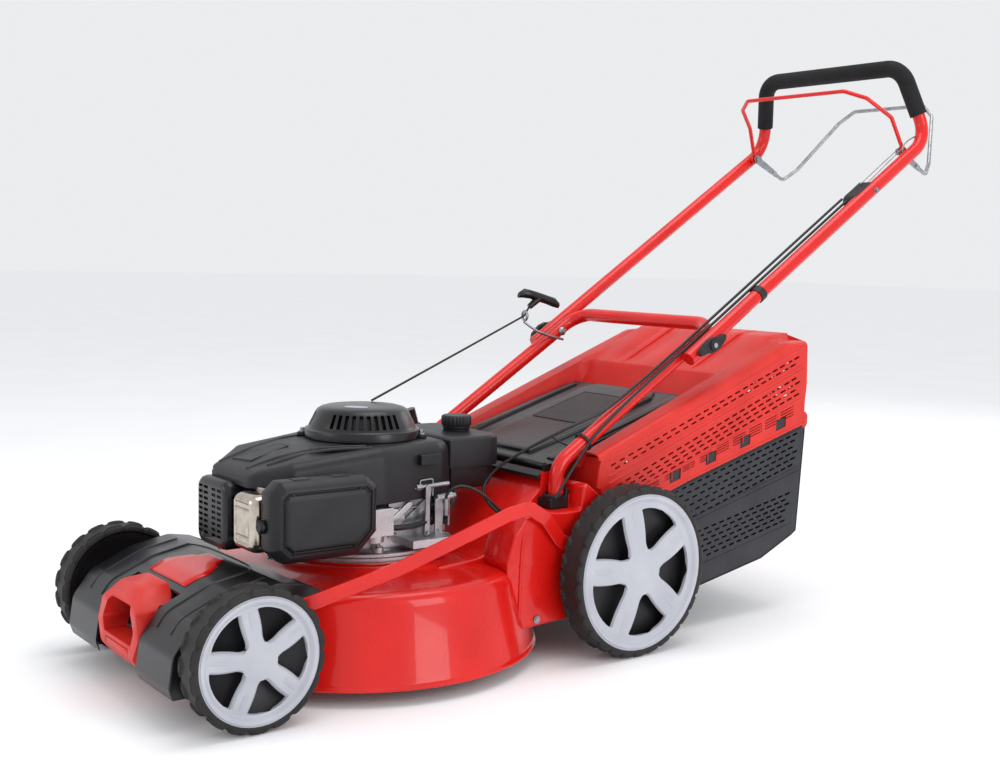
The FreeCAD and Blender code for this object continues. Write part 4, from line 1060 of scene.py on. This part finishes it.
def make_bag_upper():
    top_edge = [(y, z - 11) for y, z in reversed(BAG_TOP)]
    outline = [(300, 212), (312, 212), (352, 220), (404, 236), (504, 267), (795, 346), (803, 420)]
    outline += [(800, 489)] + top_edge[1:] + [(296, 300), (292, 272), (302, 268)]
    holes = []
    for k in range(2):
        holes += slot_row((322, 304 - 9 * k), (788, 473 - 10 * k), 15, 20.5, 3.6, 10.0 * k)
    for k in range(4):
        start = 318 if k < 2 else 392
        front_z = 262 - 9 * k if k < 2 else 272 - 8 * (k - 2)
        holes += slot_row((start, front_z), (790, 437 - 11 * k), 15, 20.5, 3.8, 10.0 * (k % 2))
    windows = []
    for y in SNAPS:
        z = along_line(SEAM, y) + 9
        windows.append([(y - 13, z - 2), (y + 13, z + 5), (y + 13, z + 24), (y - 13, z + 17)])
    for k in range(4):
        holes += slot_row((402, 256 + 3.4 * k), (793, 371 + 5.4 * k), 38, 43, 2.0, 3.0)
    parts = side_sheets("side", outline, holes + windows, BAG_X)
    fan = [[(318, 316), (560, 404), (790, 489)], [(318, 288), (560, 372), (794, 456)],
            [(318, 276), (560, 366), (796, 449)], [(330, 244), (560, 318), (797, 396)]]
    uprights = []
    for y in (424, 462, 505, 548, 592, 636, 680, 722, 764, 793):
        uprights.append([(y, along_line([(396, 250), (794, 369)], y)),
                         (y, along_line([(396, 262), (794, 390)], y))])
    parts += ribs_on_side(uprights, BAG_X - 0.4, 1.1)
    parts += ribs_on_side(fan, BAG_X - 1.0, 2.2)
    parts += ribs_on_side([[(408, 238), (504, 268), (795, 347)]], BAG_X - 1.8, 3.4)

    stations = [296, 300, 340, 400, 460, 520, 560, 580, 588, 594, 600, 606, 612, 618, 640, 680, 715, 735, 745,
                760, 800]
    across = [218, 217.2, 214.6, 211, 206, 186, 178, 172, 168, 150, 120, 112, 104, 60, 52, 44, 0]
    rows = []
    for y in stations:
        side_z, centre_z = along_line(BAG_TOP, y), along_line(BAG_CENTRE, y)
        row = []
        for x in across:
            if x > 205:
                t = (x - 206) / 12
                z = side_z - 11 * (1 - math.sqrt(max(0.0, 1 - t * t)))
            elif x >= 178:
                z = side_z
            elif x <= 168:
                step = 3.2 if (x in (112, 104, 60, 52)) and 620 < y < 760 else 0.0
                z = centre_z - step
            else:
                z = side_z + (centre_z - side_z) * 0.5
            row.append((x, y, z))
        rows.append(row + [(-x, y, z) for x, y, z in reversed(row[:-1])])
    parts.append(thicken(skin("roof", rows, 32, wrap_columns=False), BAG_WALL))

    wall = [(-216, 346), (216, 346), (216, 486), (208, 499), (170, 508), (-170, 508), (-208, 499),
            (-216, 486)]
    parts.append(holed_sheet("rear_wall", wall, rear_slots(), lambda u, v, d: (u, 802 - d, v), BAG_WALL))
    parts.append(prism("rear_lip", [(796, 338), (808, 340), (811.5, 346), (811.5, 362), (806, 368),
                                    (798, 368)], 0, -217, 217, 2.0, 2))
    frame_line = [(-217, 212), (217, 212), (217, 318), (170, 318), (166, 300), (-166, 300), (-170, 318),
                  (-217, 318)]
    mouth = [(-140, 214), (140, 214), (140, 262), (-140, 262)]
    parts.append(holed_sheet("front_frame", frame_line, [mouth], lambda u, v, d: (u, 303 + d, v), 4.0))
    for x in (-90, 0, 90):
        parts.append(prism("hump_rib", [(618, 443), (745, 507), (800, 512), (804, 506), (740, 496),
                                        (622, 438)], 0,
                           x - 7, x + 7, 1.5, 2))
    for side in SIDES:
        parts.append(prism("shoulder", [(560, 424), (700, 481), (742, 497.5), (742, 492), (560, 418)], 0,
                           side * 192 - 5, side * 192 + 5, 1.5, 2))
    piece = joined("bag_upper_shell_piece", parts)
    shade(piece.data, 30)
    finish_piece(piece, "grass_catcher", "red_plastic", ["bag_upper_shell"])


def rear_slots():
    slots = []
    for row in range(5):
        for k in range(13):
            x = -190 + 29.5 * k + (14 if row % 2 else 0)
            z = 392 + 15 * row
            slots.append([(x, z), (x + 20, z), (x + 20, z + 4.5), (x, z + 4.5)])
    return slots


def make_bag_lower():
    floor_line = [(804, 330), (792, 147), (780, 140), (700, 106), (544, 77), (440, 74), (404, 96), (386, 158),
                  (352, 196), (310, 205)]
    outline = [(310, 208), (352, 216), (404, 232), (504, 263), (792, 341), (804, 338)] + floor_line
    holes = []
    for k in range(6):
        holes += slot_row((452 + 4 * k, 240 - 11 * k), (790, 329 - 11 * k), 14, 19.5, 3.8, 9.0 * (k % 2))
    for k in range(6):
        holes += slot_row((452, 155 - 10 * k), (776 - 2 * k, 218 - 10 * k), 14, 19.5, 3.8, 9.0 * (k % 2))
    reach = BAG_X - 2.0
    parts = side_sheets("lower_side", outline, holes, reach)
    grooves = [[(446, 180), (792, 266)], [(446, 172), (792, 258)], [(446, 92), (776, 160)],
               [(404, 228), (504, 259), (794, 337)]]
    parts += ribs_on_side(grooves, reach - 0.3, 1.7)
    for side in SIDES:
        for y in SNAPS:
            z = along_line(SEAM, y) + 9
            tongue = [(y - 12, z - 14), (y + 12, z - 8), (y + 12, z + 22.5), (y - 12, z + 15.5)]
            x0, x1 = sorted((side * (reach - 3.4), side * (reach + 0.6)))
            parts.append(prism("tongue", tongue, 0, x0, x1, 0.8, 2))
    rows = [[(-reach, y, z), (reach, y, z)] for y, z in [(804, 342)] + floor_line]
    parts.append(thicken(skin("under", rows, 30, wrap_columns=False), BAG_WALL, 0))
    for k in range(5):
        x = -150 + 75 * k
        parts.append(block("rear_rib", x - 2.5, x + 2.5, 796, 806, 165, 322, 1.2, 2))
    piece = joined("bag_lower_shell_piece", parts)
    shade(piece.data, 30)
    finish_piece(piece, "grass_catcher", "black_plastic", ["bag_lower_shell"], "bag_grey")


# ---------------------------------------------------------------- deck and front cover

DRUM_SKIN = [(284.5, 22), (286.4, 23.4), (286.6, 25.6), (285.4, 27.6), (283, 29), (281.6, 32), (263, 138),
             (261.6, 144), (258.6, 150), (254, 154.6), (248, 157.2), (240, 158.2), (172, 161.4), (163, 163),
             (157, 166.2), (151.6, 169.2), (146, 170), (60, 170)]


def drum_solid(name, grow, low):
    """The space inside the round of the deck, grown or shrunk, from a height up."""
    profile = [(0.01, low)] + [(284 + grow, low)] + [(r + grow, z + (grow if r < 262 else 0)) for r,
                                                     z in DRUM_SKIN[4:-1]]
    profile += [(0.01, DECK_TOP + grow)]
    return revolve(name, profile, (0, BLADE_Y, 0), 2, 128)


def make_deck():
    inner = [(r - 3, z - (3 if r < 262 else 0)) for r, z in reversed(DRUM_SKIN[3:])]
    drum = revolve("drum", DRUM_SKIN + inner, (0, BLADE_Y, 0), 2, 192, 30)
    seat = revolve("seat", [(128, 169), (134, 169.6), (136, 171.4), (134.6, 173), (131, 173.2), (129, 171.4)],
                   (0, BLADE_Y, 0), 2, 128)
    ramp_line = rounded_outline([(20, 150), (20, 164), (107, 169.8), (232, 284), (300, 256), (300, 196),
                                 (262, 150), (250, 90), (150, 90), (110, 150)],
                                [0, 0, 40, 9, 6, 6, 6, 4, 4, 6], 6)
    ramp = prism("ramp", ramp_line, 0, -HALF_DECK, HALF_DECK, 3.0, 3, 40)
    lobe_line = rounded_outline([(107, 60), (107, 169.8), (122, 216), (140, 238), (172, 246), (214, 240),
                                 (254, 240), (258, 278), (266, 283), (300, 256), (300, 196), (262, 150),
                                 (250, 66)],
                                [4, 10, 24, 18, 24, 24, 6, 5, 4, 6, 6, 6, 8], 5)
    lobes = [prism("lobe", lobe_line, 0, low, high, 8.0, 4, 40) for low, high in ((158, 225), (-225, -158))]
    channel = prism("channel", [(90, 84), (107, 158), (234, 276), (310, 244), (310, 60), (140, 60)], 0, -157,
                    157)
    carve(ramp, [drum_solid("void", -3.2, -5), channel])
    side_lobes = joined("lobes", lobes)
    carve(side_lobes, [drum_solid("void", -3.2, -5)])
    beads = []
    for side in SIDES:
        path = [(side * 225.4, 131, 72), (side * 225.6, 132, 150), (side * 225.4, 136, 214),
                (side * 220, 142, 238)]
        beads.append(curve_piece("bead", "NURBS", path, 2.6, 5))
    piece = joined("deck_shell_piece", [drum, seat, ramp, side_lobes] + beads)
    shade(piece.data, 32)
    finish_piece(piece, "chassis", "red_paint", ["deck_shell"])
    screws = [screw("screw", (side * 225, 166, 74), (side, 0, 0), 6, 5) for side in SIDES]
    screws += [screw("screw", (side * 225, 268, 92), (side, 0, 0), 4.4, 3.6) for side in SIDES]
    assemble("deck_screws", screws, "chassis", "zinc")
    grommet = revolve("deck_grommet", [(3, 0), (11, 0), (12, 2), (11, 5), (7, 8), (3, 8)], (147, 162, 219), 2,
                      40)
    finish_piece(grommet, "chassis", "black_plastic")


COVER_TOP = [(-430, 60), (-424, 104), (-396, 142), (-330, 172), (-268, 184), (-232, 178), (-200, 164)]
COVER_RADII = [14, 30, 40, 60, 40, 10]


def make_front_cover():
    corners = [(-424, 44)] + COVER_TOP + [(-200, 150), (-330, 100), (-380, 44)]
    line = rounded_outline(corners, [2] + COVER_RADII + [2, 2, 10, 2], 6)
    cover = prism("front_cover_piece", line, 0, -190, 190, 9.0, 4, 45)
    hollow_line = inset_outline(rounded_outline([(-424, 30)] + COVER_TOP[:-2] + [(-190, 178), (-190, 30)],
                                                [0, 14, 30, 40, 60, 4, 0], 6), 3.4)
    hollow = prism("hollow", hollow_line, 0, -186, 186)
    opening = block("opening", -77, 77, -440, -363, 30, 180)
    edge = revolve("edge", [(0.01, 100), (228, 100), (228, 240), (0.01, 240)], (0, BLADE_Y, 0), 2, 128)
    for tool in (hollow, drum_solid("deck", 1.0, 0), edge, opening):
        carve(cover, [tool])
    shade(cover.data, 32)
    finish_piece(cover, "chassis", "black_cover", ["front_cover"])
    steps = []
    for side in SIDES:
        for x, width in ((104, 5), (150, 3.5)):
            path = [(side * x, y, cover_height(y) - 0.4) for y in range(-410, -265, 10)]
            steps.append(curve_piece("line", "NURBS", path, width * 0.5, 3))
        fold = [(side * x, y, cover_height(y)) for x, y in ((104, -272), (88, -256), (44, -250), (0, -250))]
        steps.append(curve_piece("fold", "NURBS", fold, 1.8, 3))
    assemble("front_cover_lines", steps, "chassis", "black_cover")


def cover_height(y):
    """Top of the front cover at a place along Y, with its rounded knees."""
    line = rounded_outline([(-430, 20)] + COVER_TOP + [(-190, 20)], [0] + COVER_RADII + [0], 6)
    return along_line([point for point in line if point[1] > 58], y)


def make_cover_panel():
    """Blank red panel on the cover, stepped in towards the deck."""
    half_width = [(-352, 64), (-318, 66), (-290, 44), (-289, 34), (-272, 26)]
    rows = []
    for y in range(-352, -271, 4):
        half, z = along_line(half_width, y), cover_height(y) + 1.6
        rows.append([(half * k / 4, y, z) for k in range(-4, 5)])
    panel = thicken(skin("front_cover_panel", rows, 30, wrap_columns=False), 2.2)
    bake(panel)
    finish_piece(panel, "chassis", "red_plastic", (), "red_paint")


def make_carry_handle():
    side_line = rounded_outline([(-414, 48), (-428, 66), (-424, 132), (-404, 160), (-364, 166), (-364, 152),
                                 (-376, 118), (-392, 84), (-400, 48)], [4, 10, 14, 14, 3, 2, 8, 8, 2], 6)
    front_line = rounded_outline([(-46, 40), (46, 40), (76, 96), (62, 134), (34, 166), (-34, 166), (-62, 134),
                                  (-76, 96)],
                                 [3, 3, 14, 20, 16, 16, 20, 14], 6)
    handle = prism("carry_handle_piece", side_line, 0, -76, 76)
    carve(handle, [prism("face", front_line, 1, -440, -350)], "INTERSECT")
    grip_line = rounded_outline([(-50, 84), (50, 84), (58, 104), (38, 138), (-38, 138), (-58, 104)],
                                [4, 4, 8, 12, 12, 8], 5)
    pocket = rounded_outline([(-42, 78), (-42, 66), (-30, 54), (30, 54), (42, 66), (42, 78)],
                             [1, 3, 3, 3, 3, 1], 2)
    groove_outer = prism("groove", pocket, 1, -431, -423.4)
    groove_inner = prism("core", inset_outline(pocket, 1.6), 1, -440, -420)
    carve(groove_outer, [groove_inner])
    screw_holes = [cylinder("hole", (side * 50, -384, 132), (side * 90, -384, 132), 7) for side in SIDES]
    carve(handle, [prism("gap", grip_line, 1, -440, -340)])
    carve(handle, screw_holes)
    carve(handle, [groove_outer])
    add_bevel(handle, 1.6, 2, 40)
    bake(handle)
    shade(handle.data, 35)
    finish_piece(handle, "chassis", "red_plastic", ["carry_handle"])
    heads = [screw("head", (side * 50, -384, 132), (side, 0, 0), 5.4, 4) for side in SIDES]
    assemble("carry_handle_screws", heads, "chassis", "zinc")


def make_link_bar():
    front, rear = (-389.0, 106.7), (277.0, 146.7)
    route = [(206.5, *front), (206.5, -266, 146), (222, -226, 159), (234, -99, 191), (235, 6, 222),
             (235, 99, 250), (235, 140, 256), (234, 174, 236), (232, 205, 199), (232, *rear)]
    path = bent_path(route, [60, 40, 60, 60, 40, 24, 24, 20], 6)
    rings = []
    for i, point in enumerate(path):
        before, after = Vector(path[max(0, i - 1)]), Vector(path[min(len(path) - 1, i + 1)])
        tangent = (after - before).normalized()
        across = Vector((0, -tangent.z, tangent.y)).normalized()
        side = across.cross(tangent).normalized()
        ring = []
        for a, b in ((-11, -1.2), (-10, -2.2), (10, -2.2), (11, -1.2), (11, 1.2), (10, 2.2), (-10, 2.2),
                     (-11, 1.2)):
            ring.append(tuple(Vector(point) + across * a + side * b))
        rings.append(ring)
    bar = loft("bar", rings, 40)
    pads = [revolve("pad", [(0.5, -2.2), (11, -2.2), (12, -1.4), (12, 1.4), (11, 2.2), (0.5, 2.2)], (x, y, z),
                    0, 40)
            for x, (y, z) in ((206.5, front), (232, rear))]
    assemble("height_link_bar_piece", [bar] + pads, "height_link", "red_paint", ["height_link_bar"])
    bolts = [screw("bolt", (208.6, *front), (1, 0, 0), 6, 5), screw("bolt", (234.2, *rear), (1, 0, 0), 6, 4)]
    assemble("height_link_bolts", bolts, "height_link", "zinc")


# ---------------------------------------------------------------- flap

def make_flap():
    """Drawn flat from its hinge, then laid on the catcher's slope."""
    outline = ([(-157, 6), (157, 6), (157, 330), (140, 338), (-140, 338), (-157, 330)], [4, 4, 8, 6, 6, 8], 4)
    parts = [stacked("sheet", outline, 2, [(-2.4, 1), (-1.6, 0), (1.0, 0), (2.0, 1), (2.2, 6)])]
    centre = ([(-78, 26), (78, 26), (98, 300), (78, 330), (-78, 330), (-98, 300)], [6, 6, 14, 10, 10, 14], 5)
    parts.append(stacked("panel", centre, 2, [(1.5, 0), (6.5, 1.4), (8, 4), (8.4, 8), (8.4, 20)]))
    for x0, x1 in ((-150, -128), (128, 150)):
        parts.append(stacked("side_rail", rounded_box((x0, x1), 20, 322, 5), 2,
                             [(1, 0), (5, 1), (6, 3.4), (6.2, 6)]))
    parts.append(curve_piece("roll", "POLY", [(-154, 335, 0), (154, 335, 0)], 2.6, 4))
    parts.append(cylinder("hinge", (-150, 0, 0), (150, 0, 0), 6.5, 1.2, 32))
    lie = placed((0, *FLAP_HINGE), FLAP_DEG)
    for part in parts:
        bake(part)
        part.data.transform(lie)
    piece = joined("rear_flap_piece", parts)
    shade(piece.data, 32)
    finish_piece(piece, "rear_flap", "black_plastic", ["rear_flap"], "black_cover")
    label = rounded_box((-62, 62), 150, 282, 4)
    plate = stacked("rear_flap_plate", label, 2, [(8, 0), (9.2, 0), (9.6, 0.6), (9.6, 3), (9.0, 3.6),
                                                  (9.0, 10)])
    plate.data.transform(lie)
    finish_piece(plate, "rear_flap", "black_plastic", (), "dark_panel")


# ---------------------------------------------------------------- cables, rope and small fittings

def on_tube(x, distance, rise, degrees):
    return (x, *along_handle(distance, degrees, rise))


def make_cables():
    (brake_x, brake_rise), (drive_x, drive_rise) = CABLE_LANES
    brake_low = [on_tube(brake_x, distance, brake_rise, LOWER_DEG) for distance in (-60, -225)]
    brake_low += [(182, 292, 378), (168, 246, 358), (136, 208, 330), (102, 166, 294), (104, 136, 254),
                  (140, 154, 230)]
    drive_low = [on_tube(drive_x, distance, drive_rise, LOWER_DEG) for distance in (-60, -250)]
    drive_low += [(208, 248, 306), (214, 208, 262)]
    engine = [(129, 56, 262.6), (129, 57, 274), (136, 84, 284), (150, 120, 264), (153, 146, 236)]
    lower = [curve_piece("cable", "NURBS", points, CABLE_R, 4) for points in (brake_low, drive_low, engine)]
    assemble("lower_cables_piece", lower, "chassis", "cable_sheath", ["lower_cables"])
    upper = []
    for x, rise in CABLE_LANES:
        points = [on_tube(x, -60, rise, LOWER_DEG)]
        points += [on_tube(x, distance, rise, UPPER_DEG) for distance in range(-40, 480, 20)]
        upper.append(curve_piece("cable", "NURBS", points, CABLE_R, 4))
    crossing = joined("upper_cables_piece", upper)
    finish_piece(crossing, None, "cable_sheath", ["upper_cables"])
    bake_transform(crossing)
    y, z = BAIL_PIVOT
    wires = [curve_piece("wire", "NURBS", [(200, y + 41, z + 36), (200, y - 26, z + 15),
                                           (200, y - 12, z - 2)], 1.4, 3),
             curve_piece("wire", "POLY", [on_tube(190, 520, 14, UPPER_DEG), (187.5, y - 6, z + 8)], 1.0, 3),
             curve_piece("wire", "POLY", [on_tube(198, 520, 10, UPPER_DEG), (194.5, y - 2, z + 10)], 1.0, 3)]
    assemble("bail_wires", wires, "upper_handle", "steel")
    tie = curve_piece("tie", "NURBS", [(184, 291, 322), (172, 280, 332), (160, 262, 340), (150, 250, 350)],
                      1.5, 3)
    loop = revolve("tie_loop", [(14.2, -2), (16.6, -2), (16.6, 2), (14.2, 2)], (0, 0, 0), 2, 48)
    loop.data.transform(placed((LOWER_X, *along_handle(-292, LOWER_DEG)), LOWER_DEG - 90))
    head = block("tie_head", 180, 188, 286, 294, 326, 332, 1, 2)
    assemble("cable_tie", [tie, loop, head], "chassis", "black_plastic")


def make_rope():
    eye = (-180, 448, 529)
    rope = curve_piece("starter_rope_piece", "NURBS", [(-30, 16, 403), (-105, 232, 465.5), eye], 1.9, 4)
    finish_piece(rope, "chassis", "cable_sheath", ["starter_rope"])
    guide = curve_piece("stem", "NURBS", [(-168, 537, 483), (-168, 497, 491), (-172, 466, 503),
                                          (-180, 448, 518)], 2.5, 4)
    ring = []
    for step in range(37):
        angle = 2 * math.pi * step / 36 - math.pi / 2
        ring.append((-180 + 9 * math.cos(angle), 448 + 4 * step / 36, 529 + 9 * math.sin(angle)))
    assemble("rope_guide_piece", [guide, curve_piece("ring", "NURBS", ring, 2.5, 4)], "chassis", "zinc",
             ["rope_guide"])
    bar = [(-183, 436, 569), (-180.5, 446, 572.5), (-178, 462, 570), (-176, 480, 565), (-174, 498, 560),
           (-171.5, 514, 555), (-169, 524, 549)]
    along = (Vector(bar[-1]) - Vector(bar[0])).normalized()
    first = along.cross(Vector((1, 0, 0))).normalized()
    second = along.cross(first)
    rings = []
    for place, radius in zip(bar, (5.5, 9.2, 8.4, 8.8, 8.4, 9.2, 5.5)):
        angles = [2 * math.pi * k / 32 for k in range(32)]
        rings.append([tuple(Vector(place) + radius * (first * math.cos(a) + second * 0.8 * math.sin(a)))
                      for a in angles])
    grip = loft("bar", rings, 50)
    stem = cylinder("stem", (-180, 460, 546), (-176, 480, 563), 5.5, 0.6, 28, 7.5)
    assemble("starter_grip_piece", [grip, stem], "starter_grip", "black_plastic", ["starter_grip"],
             "black_cover")
    stub = curve_piece("rope_stub", "NURBS", [(-180, 449, 529), (-180, 453, 536), (-180, 459, 545),
                                              (-179, 466, 551)], 1.9, 4)
    finish_piece(stub, None, "cable_sheath")
    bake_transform(stub)


def make_wing_nuts():
    blades = [(-34, -1), (-30, 5), (-18, 10), (-6, 13), (8, 12), (16, 8), (34, 5), (34, 1), (30, -5),
              (18, -10), (6, -13), (-8, -12), (-16, -8), (-34, -5)]
    turned = [along_handle(u, UPPER_DEG - 8, w) for u, w in blades]
    outline = rounded_outline(turned, [1.5, 3, 4, 3, 3, 2, 1.5] * 2, 3)
    for side, label in ((1, "left"), (-1, "right")):
        x0, x1 = sorted((side * 224, side * 233))
        wing = prism("wing", outline, 0, x0, x1, 1.6, 3)
        boss = cylinder("boss", (side * 222.5, *FOLD), (side * 236, *FOLD), 11, 1.6, 36, 9.5)
        assemble(f"wing_nut_{label}_piece", [wing, boss], f"wing_nut_{label}", "black_plastic",
                 [f"wing_nut_{label}"])
        tip = cylinder(f"fold_bolt_tip_{label}", (side * 236, *FOLD), (side * 238, *FOLD), 4.4, 0.8, 24)
        shaft = cylinder("shaft", (side * 163, *FOLD), (side * 223, *FOLD), 3.6, 0.3, 24)
        head = revolve("head", [(0.3, 0), (8.5, 0), (8.5, -1.5 * side), (6, -4 * side), (0.3, -5 * side)],
                       (side * 171, *FOLD), 0, 36)
        assemble(f"fold_bolt_{label}", [tip, shaft, head], f"wing_nut_{label}", "zinc")


def make_saddles():
    """Black hooks that the lower handle's feet sit in, with a curved horn behind the tube."""
    low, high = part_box("handle_saddles")
    y0, y1 = (1000 * (value - SHIFT) for value in (low.y, high.y))
    z0, z1 = 1000 * low.z, 1000 * high.z
    reach = 1000 * high.x
    horn = rounded_outline([(y0, z0), (y1, z0), (y1, z1), (y1 - 5, z1), (y1 - 9, z0 + 16), (y0 + 10, z0 + 13),
                            (y0, z1 - 12)],
                           [3, 6, 2, 2, 8, 6, 3], 5)
    parts = []
    for side in SIDES:
        x0, x1 = sorted((side * (reach - 34), side * (reach - 0.5)))
        parts.append(prism("saddle", horn, 0, x0, x1, 2.0, 3))
        parts.append(revolve("cuff", [(12.8, -3), (16.5, -3), (17.5, -1), (17.5, 5), (16, 7), (12.8, 7)],
                             (side * LOWER_X, (y0 + y1) / 2 - 2, z0 + 16), 2, 40))
    assemble("handle_saddles_piece", parts, "chassis", "black_plastic", ["handle_saddles"])


def make_belt():
    """V-belt round the crankshaft's pulley and the gearbox's, which moves with the rear axle."""
    near_r, far_r = 30.0, 27.0
    far_y, low_z, depth = REAR_AXLE[0] - 16, REAR_AXLE[1] - 45, 6.0
    outline = []
    for side, start_r, end_r, start_y, end_y in ((-1, near_r, far_r, BLADE_Y, far_y),
                                                 (1, far_r, near_r, far_y, BLADE_Y)):
        for k in range(16):
            outline.append((side * (start_r + (end_r - start_r) * k / 16),
                            start_y + (end_y - start_y) * k / 16))
        for k in range(24):
            angle = math.pi * k / 24
            outline.append((side * end_r * math.cos(angle), end_y - side * end_r * math.sin(angle)))
    loops = []
    for inset, z in ((0.2, 0.3), (0.2, depth - 0.3), (0.8, depth), (2.4, depth - 1.0), (2.9, depth - 1.8),
                     (2.9, 1.8), (2.4, 1.0), (0.8, 0.0)):
        loops.append([(x, y, low_z + z) for x, y in inset_outline(outline, inset)])
    belt = skin("drive_belt_piece", loops, 40, wrap_rows=True)
    finish_piece(belt, None, "belt", ["drive_belt"])
    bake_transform(belt)


def make_fasteners():
    place = along_handle(520, UPPER_DEG)
    heads = [screw("screw", (side * (UPPER_X + 12), *place), (side, 0, 0), 6, 4.5) for side in SIDES]
    assemble("upper_handle_screws", heads, "upper_handle", "zinc")


for make in (make_stage, make_wheels, make_handles, make_bails, make_recoil, make_shroud, make_tank,
             make_filter_cover, make_valve_cover, make_muffler_guard, make_engine_details, make_bag_upper,
             make_bag_lower, make_deck, make_front_cover, make_cover_panel, make_carry_handle, make_link_bar,
             make_flap, make_cables, make_rope, make_wing_nuts, make_fasteners, make_saddles, make_belt):
    make()

for node, obj in frame["nodes"].items():
    slot_name = next(part["material_slot"] for part in frame["record"]["subparts"] if part["node"] == node)
    obj.data.materials.clear()
    obj.data.materials.append(MATERIALS[slot_name])
